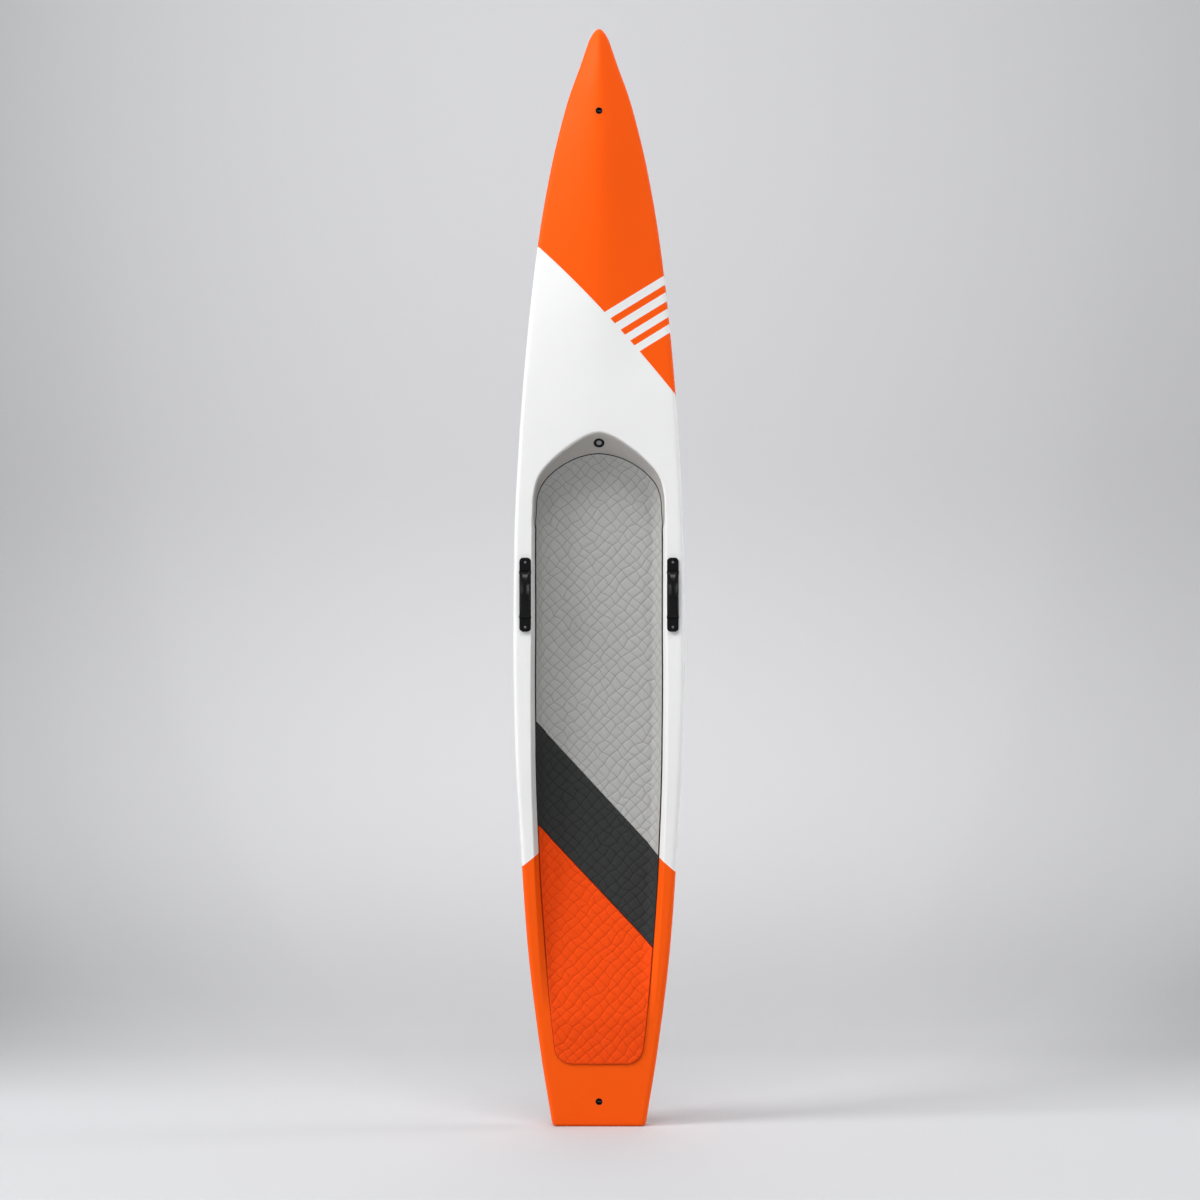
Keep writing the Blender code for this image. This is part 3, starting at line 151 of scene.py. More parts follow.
def smooth_through(stations, place):
    """The value at a place on a curve through the stations, which doesn't overshoot them."""
    places = [p for p, _ in stations]
    values = [v for _, v in stations]
    if place <= places[0]:
        return values[0]
    if place >= places[-1]:
        return values[-1]
    spans = [b - a for a, b in zip(places, places[1:])]
    slopes = [(b - a) / span for a, b, span in zip(values, values[1:], spans)]
    tangents = [slopes[0]]
    for before, after in zip(slopes, slopes[1:]):
        tangents.append(0.0 if before * after <= 0 else 2 * before * after / (before + after))
    tangents.append(slopes[-1])
    i = bisect_right(places, place) - 1
    t = (place - places[i]) / spans[i]
    rise = values[i + 1] - values[i]
    bend_in = spans[i] * tangents[i] - rise
    bend_out = rise - spans[i] * tangents[i + 1]
    return values[i] + t * rise + t * (1 - t) * ((1 - t) * bend_in + t * bend_out)


def clamped(share):
    return min(max(share, 0.0), 1.0)


def eased(share):
    share = clamped(share)
    return share * share * (3 - 2 * share)


def evenly(low, high, count):
    """Places in count equal steps from low, which is left out, to high."""
    return [low + (high - low) * k / count for k in range(1, count + 1)]


def half_width(z):
    """Half the board's width, in the nose up to NOSE_SLIM less than the CAD's, as in the photo."""
    from_tip = BOARD_LENGTH - z
    share = eased(from_tip / NOSE_SLIM_FALL) * eased((NOSE_SLIM_START - from_tip) / NOSE_SLIM_RISE)
    return HALF_WIDTH * smooth_through(OUTLINE, z / BOARD_LENGTH) - NOSE_SLIM * share


def rail_height(z):
    return RAIL_HEIGHT * smooth_through(RAIL_LINE, z / BOARD_LENGTH)


def crown_height(z):
    return CROWN_HEIGHT * smooth_through(CROWN_LINE, z / BOARD_LENGTH)


def keel_depth(z):
    return KEEL_DEPTH * smooth_through(KEEL_LINE, z / BOARD_LENGTH)


def top_half_width(z):
    return half_width(z) - TUMBLEHOME


def crown_share(across):
    """The share of the crown left at a share of the way out: two slopes that meet in a rounded ridge."""
    rounded = math.hypot(across, RIDGE_ROUNDING) - RIDGE_ROUNDING
    return 1 - rounded / (math.hypot(1.0, RIDGE_ROUNDING) - RIDGE_ROUNDING)


def deck_y(x, z):
    across = min(abs(x) / max(top_half_width(z), 1e-6), 1.0)
    return -(rail_height(z) + crown_height(z) * crown_share(across))


def end_trim(z):
    """How much the tail's rounded edge takes off each side at this height."""
    if z >= TAIL_EDGE_RADIUS:
        return 0.0
    return TAIL_EDGE_RADIUS - math.sqrt(TAIL_EDGE_RADIUS**2 - (TAIL_EDGE_RADIUS - z) ** 2)


def tip_scale(z):
    past = (z - (BOARD_LENGTH - TIP_LENGTH)) / TIP_LENGTH
    return math.sqrt(max(0.0, 1 - past**2)) if past > 0 else 1.0


def floor_height(z):
    climb = clamped((RAMP_START - z) / (RAMP_START - RAMP_END)) ** RAMP_POWER
    return WELL_FLOOR_HEIGHT + (rail_height(z) - WELL_FLOOR_HEIGHT) * climb


def rim_x(z):
    return top_half_width(z) - GUNWALE_WIDTH * smooth_through(GUNWALE_LINE, z / BOARD_LENGTH)


def pad_x(z):
    return rim_x(z) - WALL_WIDTH * smooth_through(WALL_LINE, z / BOARD_LENGTH)


class Slice:
    """A section of the well: straight across at a height, or fanned out from its centre at an angle."""

    def __init__(self, z=None, angle=None):
        if angle is None:
            self.start, self.direction = Vector((0.0, 0.0, z)), Vector((1.0, 0.0, 0.0))
            self.rim, self.edge, self.fillet = rim_x(z), pad_x(z), SIDE_FILLET
        else:
            turn = math.radians(angle)
            self.start = Vector((0.0, 0.0, WELL_CENTRE))
            self.direction = Vector((math.cos(turn), 0.0, math.sin(turn)))
            from_peak = math.hypot(90 - angle, PEAK_ROUNDING) - PEAK_ROUNDING
            angle_at_rim = 90 - from_peak * 90 / (math.hypot(90, PEAK_ROUNDING) - PEAK_ROUNDING)
            side_rim, side_edge = rim_x(WELL_CENTRE), pad_x(WELL_CENTRE)
            self.rim = side_rim + (COLLAR_REACH - side_rim) * smooth_through(COLLAR_OUTLINE, angle_at_rim)
            self.edge = side_edge + (PAD_REACH - side_edge) * smooth_through(PAD_OUTLINE, angle)
            self.fillet = SIDE_FILLET + (FRONT_FILLET - SIDE_FILLET) * math.sin(turn) ** 2
        place = self.start + self.direction * self.rim
        self.top = deck_y(place.x, place.z)
        self.floor = -floor_height(min(place.z, WELL_CENTRE))
        self.level = self.top + WALL_SHARE * (self.floor - self.top)
        self.slope = (self.level - self.top) / (self.rim - self.edge)
        self.flat = self.edge - self.fillet

    def drop(self, s):
        """How far the wall is below the deck at a distance from the start, with the rim rounded."""
        inward = self.rim - s
        if abs(inward) < RIM_ROUNDING:
            inward = (inward + RIM_ROUNDING) ** 2 / (4 * RIM_ROUNDING)
        return self.slope * max(inward, 0.0)

    def y(self, s):
        if s <= self.flat:
            return self.floor
        if s < self.edge:
            q = (self.edge - s) / self.fillet
            return self.level + (self.floor - self.level) * (1 - (1 - q) ** 2)
        return self.top + self.drop(s)

    def point(self, s):
        place = self.start + self.direction * s
        place.y = self.y(s)
        return place

    def walk(self, reach=None):
        """Places along the section from the centre to reach, as (arc length, distance, y) arrays."""
        end = self.edge if reach is None else reach
        s = np.concatenate([np.linspace(0.0, self.flat, 12, endpoint=False), np.linspace(self.flat, end, 60)])
        y = np.array([self.y(v) for v in s])
        arc = np.concatenate([[0.0], np.cumsum(np.hypot(np.diff(s), np.diff(y)))])
        return arc, s, y


# Scene tools


def new_object(name, data):
    obj = bpy.data.objects.new(name, data)
    bpy.context.scene.collection.objects.link(obj)
    return obj


def from_bmesh(name, work, matrix=Matrix()):
    """An object from mesh work, which is moved by the matrix and then freed."""
    mesh = bpy.data.meshes.new(name)
    work.to_mesh(mesh)
    work.free()
    mesh.transform(matrix)
    return new_object(name, mesh)


def smooth(obj, angle):
    obj.data.shade_smooth()
    obj.data.set_sharp_from_angle(angle=math.radians(angle))
    return obj


def applied(obj):
    """The object with its modifiers made into plain mesh."""
    bpy.context.view_layer.update()
    graph = bpy.context.evaluated_depsgraph_get()
    mesh = bpy.data.meshes.new_from_object(obj.evaluated_get(graph))
    obj.modifiers.clear()
    old, obj.data = obj.data, mesh
    bpy.data.meshes.remove(old)
    return obj


def carve(obj, others, operation="DIFFERENCE"):
    """Cuts the object with others, or joins them to it, and removes them."""
    for other in others:
        modifier = obj.modifiers.new(other.name, "BOOLEAN")
        modifier.object, modifier.operation, modifier.solver = other, operation, "MANIFOLD"
    applied(obj)
    for other in others:
        bpy.data.objects.remove(other)


def coat(obj, material):
    obj.data.materials.clear()
    obj.data.materials.append(material)
    for face in obj.data.polygons:
        face.material_index = 0
    return obj


def piece(obj, body, slot, *nodes):
    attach(obj, body)
    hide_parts(*nodes)


def finished(obj, material, slot, node, body="board", angle=32.0):
    """A piece in one material, with its edges sharp above an angle, that stands for one CAD node."""
    piece(smooth(coat(obj, material), angle), body, slot, node)


def of_kind(result, kind):
    """The vertices, edges or faces among what a mesh operation made."""
    return [item for item in result["geom"] if isinstance(item, kind)]


def bridge(work, low, high, closed=False):
    """Faces between two rows of vertices, which are rings when closed."""
    if closed:
        low, high = low + low[:1], high + high[:1]
    return [work.faces.new(corners) for corners in zip(low, low[1:], high[1:], high)]


def loft(work, rings):
    """A closed skin through rings of points, capped at both ends."""
    rows = [[work.verts.new(point) for point in ring] for ring in rings]
    for low, high in zip(rows, rows[1:]):
        bridge(work, low, high, closed=True)
    work.faces.new(rows[0][::-1])
    work.faces.new(rows[-1])


def lofted(name, rings, matrix=Matrix()):
    work = bmesh.new()
    loft(work, rings)
    bmesh.ops.recalc_face_normals(work, faces=work.faces)
    return from_bmesh(name, work, matrix)


def face_outwards(work):
    bmesh.ops.recalc_face_normals(work, faces=work.faces)
    if work.calc_volume(signed=True) < 0:
        bmesh.ops.reverse_faces(work, faces=work.faces)


def divide_large_faces(work):
    bmesh.ops.triangulate(work, faces=[f for f in work.faces if len(f.verts) > 4])


def slit(work, faces, place, normal):
    """Adds edges to these faces where a plane cuts them."""
    geom = dict.fromkeys(faces)
    for f in faces:
        geom.update(dict.fromkeys([*f.edges, *f.verts]))
    bmesh.ops.bisect_plane(work, geom=list(geom), dist=1e-6, plane_co=place, plane_no=normal)


def corner_curve(start, corner, end, steps):
    """A curve from start to end that rounds a corner, without its first point."""
    shares = evenly(0.0, 1.0, steps)
    return [start * (1 - t) ** 2 + corner * 2 * t * (1 - t) + end * t**2 for t in shares]


def soft_profile(points):
    """A profile with a short curve at each point whose third number gives a radius."""
    out = []
    for i, (x, y, *radius) in enumerate(points):
        if not radius:
            out.append((x, y))
            continue
        here, after = Vector((x, y)), Vector(points[(i + 1) % len(points)][:2])
        start = here + (Vector(points[i - 1][:2]) - here).normalized() * radius[0]
        end = here + (after - here).normalized() * radius[0]
        out += [tuple(p) for p in [start] + corner_curve(start, here, end, 3)]
    return out


def circle(radius, steps=48, centre=(0.0, 0.0)):
    turns = [2 * math.pi * i / steps for i in range(steps)]
    return [(centre[0] + radius * math.cos(t), centre[1] + radius * math.sin(t)) for t in turns]


def turned(name, points, steps, matrix):
    """A solid turned about local Z from a profile of (radius, height) that may be rounded at its points."""
    work = bmesh.new()
    profile = soft_profile(points)
    rings = []
    for radius, height in profile:
        if radius < 1e-7:
            rings.append([work.verts.new((0.0, 0.0, height))] * steps)
        else:
            rings.append([work.verts.new((x, y, height)) for x, y in circle(radius, steps)])
    closed = profile[0][0] > 1e-7 and profile[-1][0] > 1e-7
    for low, high in list(zip(rings, rings[1:])) + ([(rings[-1], rings[0])] if closed else []):
        for i in range(steps):
            j = (i + 1) % steps
            corners = [low[i], low[j], high[j], high[i]]
            kept = [c for k, c in enumerate(corners) if c not in corners[:k]]
            if len(kept) > 2:
                work.faces.new(kept)
    bmesh.ops.recalc_face_normals(work, faces=work.faces)
    return from_bmesh(name, work, matrix)


def prism(name, outline, low, high, matrix, bevel=0.0, segments=3):
    """A flat outline in local X and Y raised from low to high, with its rims rounded."""
    work = bmesh.new()
    base = [work.verts.new((x, y, low)) for x, y in outline]
    raised = bmesh.ops.extrude_face_region(work, geom=[work.faces.new(base)])
    lifted = of_kind(raised, bmesh.types.BMVert)
    bmesh.ops.translate(work, verts=lifted, vec=(0.0, 0.0, high - low))
    bmesh.ops.recalc_face_normals(work, faces=work.faces)
    if bevel:
        rims = [e for e in work.edges if abs(e.verts[0].co.z - e.verts[1].co.z) < 1e-9]
        bmesh.ops.bevel(work, geom=rims, offset=bevel, segments=segments, profile=0.5, affect="EDGES")
    return from_bmesh(name, work, matrix)


def bore(radius, low, high, matrix, steps=24, centre=(0.0, 0.0)):
    return prism("bore", circle(radius, steps, centre), low, high, matrix)


def channel(half, start, end, low, high, matrix):
    outline = [(-half, start), (half, start), (half, end), (-half, end)]
    return prism("channel", outline, low, high, matrix)


def rounded_outline(width, length, radius, steps=8):
    points = []
    for side_x, side_y, start in ((1, 1, 0), (-1, 1, 90), (-1, -1, 180), (1, -1, 270)):
        for step in range(steps + 1):
            angle = math.radians(start + 90 * step / steps)
            points.append((
                side_x * (width / 2 - radius) + radius * math.cos(angle),
                side_y * (length / 2 - radius) + radius * math.sin(angle),
            ))
    return points


def frame_matrix(origin, out, along):
    """A matrix whose local Z is out of a surface and whose local Y runs along it."""
    out, along = Vector(out).normalized(), Vector(along).normalized()
    across = along.cross(out)
    turn = Matrix((across, along, out)).transposed().to_4x4()
    return Matrix.Translation(origin) @ turn


# Materials


def filled(node, **values):
    """The node with its sockets set, whose names have _ for a space."""
    for name, value in values.items():
        node.inputs[name.replace("_", " ")].default_value = value
    return node


class Finish:
    """A procedural material with mottled colour, uneven gloss and fine relief, in metres of object space."""

    def __init__(self, name, colour, roughness, metallic=0.0):
        self.material = bpy.data.materials.new(name)
        self.material.use_nodes = True
        self.nodes = self.material.node_tree.nodes
        self.links = self.material.node_tree.links
        self.colour, self.roughness = colour, roughness
        self.shader = self.nodes["Principled BSDF"]
        filled(self.shader, Metallic=metallic, Base_Color=(*colour, 1.0), Roughness=roughness)
        self.place = self.nodes.new("ShaderNodeTexCoord").outputs["Object"]
        self.bump = None

    def texture(self, kind, output, stretch=None, **values):
        node, place = filled(self.nodes.new("ShaderNodeTex" + kind), **values), self.place
        if stretch:
            mapping = filled(self.nodes.new("ShaderNodeMapping"), Scale=stretch)
            self.links.new(place, mapping.inputs["Vector"])
            place = mapping.outputs["Vector"]
        self.links.new(place, node.inputs["Vector"])
        return node.outputs[output]

    def noise(self, scale, detail=3.0, stretch=None, distortion=0.0):
        return self.texture("Noise", "Fac", stretch, Scale=scale, Detail=detail, Distortion=distortion)

    def mottle(self, source, amount, low=0.35, high=0.65):
        """Colour that varies by this share about the given one."""
        node = self.nodes.new("ShaderNodeValToRGB")
        for stop, place, share in zip(node.color_ramp.elements, (low, high), (1 - amount, 1 + amount)):
            stop.position = place
            stop.color = (*(min(1.0, c * share) for c in self.colour), 1.0)
        self.links.new(source, node.inputs["Fac"])
        self.links.new(node.outputs["Color"], self.shader.inputs["Base Color"])
        return self

    def gloss(self, source, spread):
        rough = max(0.02, self.roughness - spread), min(1.0, self.roughness + spread)
        node = self.nodes.new("ShaderNodeMapRange")
        filled(node, From_Min=0.3, From_Max=0.7, To_Min=rough[0], To_Max=rough[1])
        self.links.new(source, node.inputs["Value"])
        self.links.new(node.outputs["Result"], self.shader.inputs["Roughness"])
        return self

    def relief(self, source, strength, distance):
        node = filled(self.nodes.new("ShaderNodeBump"), Strength=strength, Distance=distance)
        self.links.new(source, node.inputs["Height"])
        if self.bump:
            self.links.new(self.bump.outputs["Normal"], node.inputs["Normal"])
        self.links.new(node.outputs["Normal"], self.shader.inputs["Normal"])
        self.bump = node
        return self


def grained(name, colour, roughness, mottle, gloss, reliefs, stretch=None, metallic=0.0, **sockets):
    """A material from noises, each with its scale and detail, and then its amount, or strength and depth."""
    finish = Finish(name, colour, roughness, metallic)
    finish.mottle(finish.noise(*mottle[:2]), mottle[2])
    finish.gloss(finish.noise(*gloss[:2], stretch), gloss[2])
    for scale, detail, strength, depth in reliefs:
        finish.relief(finish.noise(scale, detail, stretch), strength, depth)
    filled(finish.shader, **sockets)
    return finish.material


def gel_coat(name, colour, roughness):
    relief = (260.0, 2.0, 0.05, 0.0006)
    mottle, gloss = (3.0, 4.0, 0.012), (9.0, 5.0, 0.05)
    return grained(name, colour, roughness, mottle, gloss, [relief], Specular_IOR_Level=0.09)


def eva_foam(name, colour, spread=0.07, coarse=900.0):
    reliefs = [(coarse * 1.4, 4.0, 0.35, 0.0005), (120.0, 3.0, 0.12, 0.001)]
    mottle, gloss = (coarse, 6.0, spread), (60.0, 3.0, 0.06)
    return grained(name, colour, 0.86, mottle, gloss, reliefs, Specular_IOR_Level=0.12)


def moulded(name, colour, roughness, grain=700.0, strength=0.12):
    relief = (grain, 3.0, strength, 0.0004)
    mottle, gloss = (25.0, 4.0, 0.12), (140.0, 4.0, 0.07)
    return grained(name, colour, roughness, mottle, gloss, [relief], Specular_IOR_Level=0.18)


def machined(name, colour, roughness):
    relief = (900.0, 2.0, 0.08, 0.0002)
    mottle, gloss = (60.0, 3.0, 0.06), (400.0, 3.0, 0.09)
    return grained(name, colour, roughness, mottle, gloss, [relief], (1.0, 1.0, 30.0), 1.0)


def cell_foam(name, colour, scale):
    finish = Finish(name, colour, 0.95)
    cells = finish.texture("Voronoi", "Distance", Scale=scale)
    return finish.mottle(cells, 0.07, 0.05, 0.6).relief(cells, 0.5, 0.001).material


def wood(name, colour):
    finish = Finish(name, colour, 0.7)
    grain = finish.noise(40.0, 6.0, (1.0, 1.0, 0.04), 0.6)
    return finish.mottle(grain, 0.3).gloss(grain, 0.1).relief(grain, 0.25, 0.0006).material


def woven(name, colour):
    finish = Finish(name, colour, 0.9)
    weave = finish.texture("Checker", "Fac", Scale=4000.0)
    return finish.mottle(weave, 0.08, 0.0, 1.0).relief(weave, 0.3, 0.0002).material


WHITE = gel_coat("white_gel_coat", (0.81, 0.81, 0.805), 0.34)
ORANGE = gel_coat("orange_gel_coat", (0.93, 0.1, 0.003), 0.52)
GREY_PAD = eva_foam("grey_pad_foam", (0.4, 0.4, 0.39))
# Darker copies of the pad foams for the tiles' groove faces: painted shade in the grooves.
GREY_GROOVE_SHADE = eva_foam("grey_pad_groove_painted_shade", (0.28, 0.28, 0.27))
CHARCOAL_PAD = eva_foam("charcoal_pad_foam", (0.034, 0.035, 0.035), 0.2)
CHARCOAL_GROOVE_SHADE = eva_foam("charcoal_pad_groove_painted_shade", (0.017, 0.017, 0.017), 0.2)
ORANGE_PAD = eva_foam("orange_pad_foam", (0.86, 0.07, 0.004), 0.06)
ORANGE_GROOVE_SHADE = eva_foam("orange_pad_groove_painted_shade", (0.68, 0.048, 0.0025), 0.06)
# Near-black and dark orange for the pads' cut edges: a painted shadow line along the pads' edges.
PAD_EDGE_SHADOW = eva_foam("pad_edge_painted_shadow", (0.028, 0.027, 0.024), 0.1)
ORANGE_EDGE_SHADOW = eva_foam("orange_pad_edge_painted_shadow", (0.3, 0.022, 0.002), 0.1)
COLLAR_FOAM = eva_foam("collar_foam", (0.4, 0.382, 0.362), 0.04, 1500.0)
BLACK = moulded("black_moulded_plastic", (0.002, 0.002, 0.0023), 0.16)
BLACK_RUBBER = moulded("black_rubber_seal", (0.018, 0.018, 0.018), 0.75, 500.0, 0.2)
FIN_BLACK = moulded("fin_plastic", (0.014, 0.014, 0.015), 0.3, 350.0, 0.06)
GREY_METAL = machined("grey_vent_metal", (0.27, 0.27, 0.275), 0.38)
STEEL = machined("turned_steel", (0.56, 0.56, 0.57), 0.28)
DARK_STEEL = machined("dulled_steel", (0.24, 0.24, 0.25), 0.34)
PIN_STEEL = machined("blackened_steel", (0.09, 0.09, 0.095), 0.42)
BRASS = machined("turned_brass", (0.6, 0.42, 0.15), 0.33)
CORE = cell_foam("core_foam_cells", (0.85, 0.86, 0.85), 260.0)
DENSE = cell_foam("dense_foam_cells", (0.72, 0.57, 0.28), 700.0)
WOOD = wood("stringer_grain", (0.6, 0.4, 0.2))
CLOTH = woven("membrane_weave", (0.88, 0.88, 0.88))


# Deck skin


def rim_drop(x, z):
    """How far the rounded rim lowers the deck just outside the well."""
    if z <= WELL_CENTRE:
        return Slice(z=z).drop(x)
    angle = min(90.0, math.degrees(math.atan2(z - WELL_CENTRE, max(x, 0.0))))
    return Slice(angle=angle).drop(math.hypot(x, z - WELL_CENTRE))


def at_tip(z, points):
    """The points of a section, drawn in to the centre line where the nose's tip is rounded."""
    size = tip_scale(z)
    return [Vector((p.x * size, p.y * size, p.z)) for p in points]


def outer_row(z, first):
    """The deck from a place near the well's rim, or the centre line, out to the seam."""
    trim = end_trim(z)
    width = half_width(z) - trim
    rail = rail_height(z) - trim
    crown = crown_height(z)
    top = width - min(RAIL_LEAN, 0.2 * width)
    crown_edge = width - min(TUMBLEHOME, 0.2 * width)
    radius = min(RAIL_RADIUS, 0.4 * top, 0.4 * rail)
    last = top - radius
    near = min(1.0, (last - first) / 0.03)
    places = [first + near * d for d in (0.0, RIM_ROUNDING / 2, RIM_ROUNDING)]
    shares = (0.06, 0.18, 0.32, 0.46, 0.6, 0.74, 0.88, 1.0)
    places += [places[-1] + (last - places[-1]) * share for share in shares]
    near_rim = z <= WELL_CENTRE + COLLAR_REACH + 3 * RIM_ROUNDING and z > RAMP_END
    points = []
    for k, x in enumerate(places):
        y = -(rail + crown * crown_share(min(1.0, x / crown_edge)))
        if near_rim and k < 3:
            y += rim_drop(x, z)
        points.append(Vector((x, y, z)))
    corner = Vector((top, -rail, z))
    seam = Vector((width, -SEAM_GAP, z))
    side = corner + (seam - corner).normalized() * radius
    points += corner_curve(points[-1], corner, side, 7)
    return at_tip(z, points + [side.lerp(seam, share) for share in (0.25, 0.5, 0.75, 1.0)])


def inner_places(cut, rim):
    places = [cut.flat * share for share in (0.0, 0.35, 0.7, 1.0)]
    places += [cut.edge - cut.fillet * q for q in (0.86, 0.72, 0.58, 0.44, 0.3, 0.15, 0.0)]
    last = rim - RIM_ROUNDING
    places += [cut.edge + (last - cut.edge) * share for share in (0.33, 0.67, 1.0)]
    return places + [rim - RIM_ROUNDING / 2, rim]


def row_heights():
    heights = [TAIL_EDGE_RADIUS * (1 - math.cos(math.radians(a))) for a in range(0, 91, 15)]
    for low, high, step in ((TAIL_EDGE_RADIUS, RAMP_END, 0.024), (RAMP_END, WELL_CENTRE, 0.0245)):
        heights += evenly(low, high, round((high - low) / step))
    return heights


def nose_heights(low):
    heights = [low + RIM_ROUNDING / 2, low + RIM_ROUNDING, low + 0.008, low + 0.018]
    high = BOARD_LENGTH - TIP_LENGTH
    heights += evenly(heights[-1], high, round((high - heights[-1]) / 0.024))
    angles = (8, 16, 24, 32, 40, 48, 56, 64, 72, 79, 85, 88)
    return heights + [high + TIP_LENGTH * math.sin(math.radians(a)) for a in angles]


def deck_surface():
    """The right half of the deck's outside as mesh work: well, rim, gunwale, rail and foredeck in one."""
    work = bmesh.new()

    def row_of(points):
        return [work.verts.new(p) for p in points]

    outer_rows, inner_rows = [], []
    for z in row_heights():
        cut = Slice(z=z)
        trim = end_trim(z)
        last = half_width(z) - trim - TUMBLEHOME - RAIL_RADIUS
        rim = min(cut.rim, last - 0.008)
        if z <= RAMP_END:
            inner = [Vector((s, -(rail_height(z) - trim), z)) for s in [0.0] + evenly(0.0, rim, 15)]
        else:
            inner = [cut.point(s) for s in inner_places(cut, rim)]
        inner_rows.append(row_of(inner))
        outer_rows.append([inner_rows[-1][-1]] + row_of(outer_row(z, rim)[1:]))
    fan = [Slice(angle=a) for a in [3.0 * k for k in range(1, 28)] + [83, 85, 86.5, 88, 89, 90]]
    centre_row = inner_rows[-1]
    floor_edge = [centre_row[3]]
    before = centre_row[3:]
    for cut in fan:
        ring = row_of([cut.point(s) for s in inner_places(cut, cut.rim)[3:]])
        bridge(work, before, ring)
        before = ring
        floor_edge.append(ring[0])
        place = cut.start + cut.direction * cut.rim
        outer_rows.append([ring[-1]] + row_of(outer_row(place.z, max(place.x, 0.0))[1:]))
    work.faces.new(centre_row[:3] + floor_edge)
    for z in nose_heights(WELL_CENTRE + fan[-1].rim):
        outer_rows.append(row_of(outer_row(z, 0.0)))
    for rows in (inner_rows, outer_rows):
        for low, high in zip(rows, rows[1:]):
            bridge(work, low, high)
    for end in (inner_rows[0] + outer_rows[0][1:], outer_rows[-1]):
        work.faces.new(end + row_of([Vector((0.0, -SEAM_GAP, end[0].co.z))]))
    return work


def hull_row(z):
    trim = end_trim(z)
    width = half_width(z) - trim
    keel = keel_depth(z) - trim
    chine = keel * (1 - smooth_through(VEE_LINE, z / BOARD_LENGTH))
    seam = Vector((width, 0.0, z))
    flat = width - min(CHINE_WIDTH, 0.5 * width)
    points = [seam] + corner_curve(seam, Vector((width, chine, z)), Vector((flat, chine, z)), 12)
    for step in range(1, 13):
        x = flat * (1 - step / 12)
        points.append(Vector((x, chine + (keel - chine) * (1 - (x / flat) ** VEE_POWER), z)))
    return at_tip(z, points)


def hull_surface():
    work = bmesh.new()
    heights = row_heights() + nose_heights(WELL_CENTRE)
    rows = [[work.verts.new(p) for p in hull_row(z)] for z in heights]
    for low, high in zip(rows, rows[1:]):
        bridge(work, low, high)
    for row in (rows[0], rows[-1]):
        work.faces.new(row + [work.verts.new((0.0, 0.0, row[0].co.z))])
    return work


def mirror_half(work):
    copy = bmesh.ops.duplicate(work, geom=work.verts[:] + work.edges[:] + work.faces[:])
    for v in of_kind(copy, bmesh.types.BMVert):
        v.co.x = -v.co.x
    bmesh.ops.reverse_faces(work, faces=of_kind(copy, bmesh.types.BMFace))
    middle = [v for v in work.verts if abs(v.co.x) < 1e-7]
    bmesh.ops.remove_doubles(work, verts=middle, dist=1e-6)


def cut_along(work, line, low, high):
    """Adds edges where the skin crosses a line given as height over x, within a span of heights."""
    for v in work.verts:
        v.co.z -= line(v.co.x)
    centres = [(f, f.calc_center_median()) for f in work.faces]
    slit(work, [f for f, c in centres if low < c.z + line(c.x) < high], (0, 0, 0), (0, 0, 1))
    for v in work.verts:
        v.co.z += line(v.co.x)


def bow_line(x):
    return BOW_LINE[0] + BOW_LINE[1] * x + BOW_LINE[2] * x * x


def tail_line(x):
    return TAIL_PEAK - TAIL_SLOPES[0 if x < 0 else 1] * abs(x)


def stripe_line(step):
    return lambda x: STRIPE_TOP + STRIPE_SLOPE * x - step


def painted(work, stripes):
    """Cuts the paint's edges into the skin and numbers its faces: 0 white, 1 orange."""
    cut_along(work, bow_line, *BOW_SPAN)
    cut_along(work, tail_line, *TAIL_SPAN)
    if stripes:
        for step in STRIPE_STEPS:
            cut_along(work, stripe_line(step), *STRIPE_SPAN)
    for f in work.faces:
        centre = f.calc_center_median()
        orange = centre.z < tail_line(centre.x)
        if centre.z > bow_line(centre.x):
            passed = sum(1 for step in STRIPE_STEPS if centre.z < stripe_line(step)(centre.x))
            orange = not stripes or passed % 2 == 0
        f.material_index = 1 if orange else 0


def make_skin(name, work, stripes):
    """A skin from its right half: mirrored, painted, and given a wall that thins out at the nose's tip."""
    mirror_half(work)
    bmesh.ops.recalc_face_normals(work, faces=work.faces)
    out = sum(f.normal.y * f.calc_area() for f in work.faces)
    wanted = -1 if name.startswith("deck") else 1
    if out * wanted < 0:
        bmesh.ops.reverse_faces(work, faces=work.faces)
    painted(work, stripes)
    obj = from_bmesh(name, work, Matrix.Translation((0.0, SEAM_Y, 0.0)))
    for material in (WHITE, ORANGE):
        obj.data.materials.append(material)
    group = obj.vertex_groups.new(name="wall")
    for v in obj.data.vertices:
        room = 0.3 * half_width(v.co.z) * tip_scale(v.co.z) + 0.0001
        group.add([v.index], min(1.0, room / SKIN), "REPLACE")
    wall = obj.modifiers.new("wall", "SOLIDIFY")
    wall.thickness, wall.offset = SKIN, -1.0
    wall.vertex_group, wall.thickness_vertex_group = "wall", 0.0
    return applied(obj)


# Frames of the fittings, as packed

VENT = frame_matrix((0.0, -0.09022, 2.651), (0, -0.814806, -0.579734), (0, -0.579734, 0.814806))
BOW_CUP = frame_matrix((0.0, -0.10323, 3.933), (0, -0.993303, 0.115535), (0, 0.115535, 0.993303))
TAIL_CUP = frame_matrix((0.0, -0.06269, 0.097), (0, -0.999679, -0.025335), (0, -0.025335, 0.999679))
FIN = frame_matrix((0.0, 0.06779, 0.3865), (0, 1, 0), (0, 0, -1))
HANDLE = {side: frame_matrix((side * 0.28505, -0.11613, 2.062), (0, -1, 0), (0, 0, 1)) for side in (1, -1)}

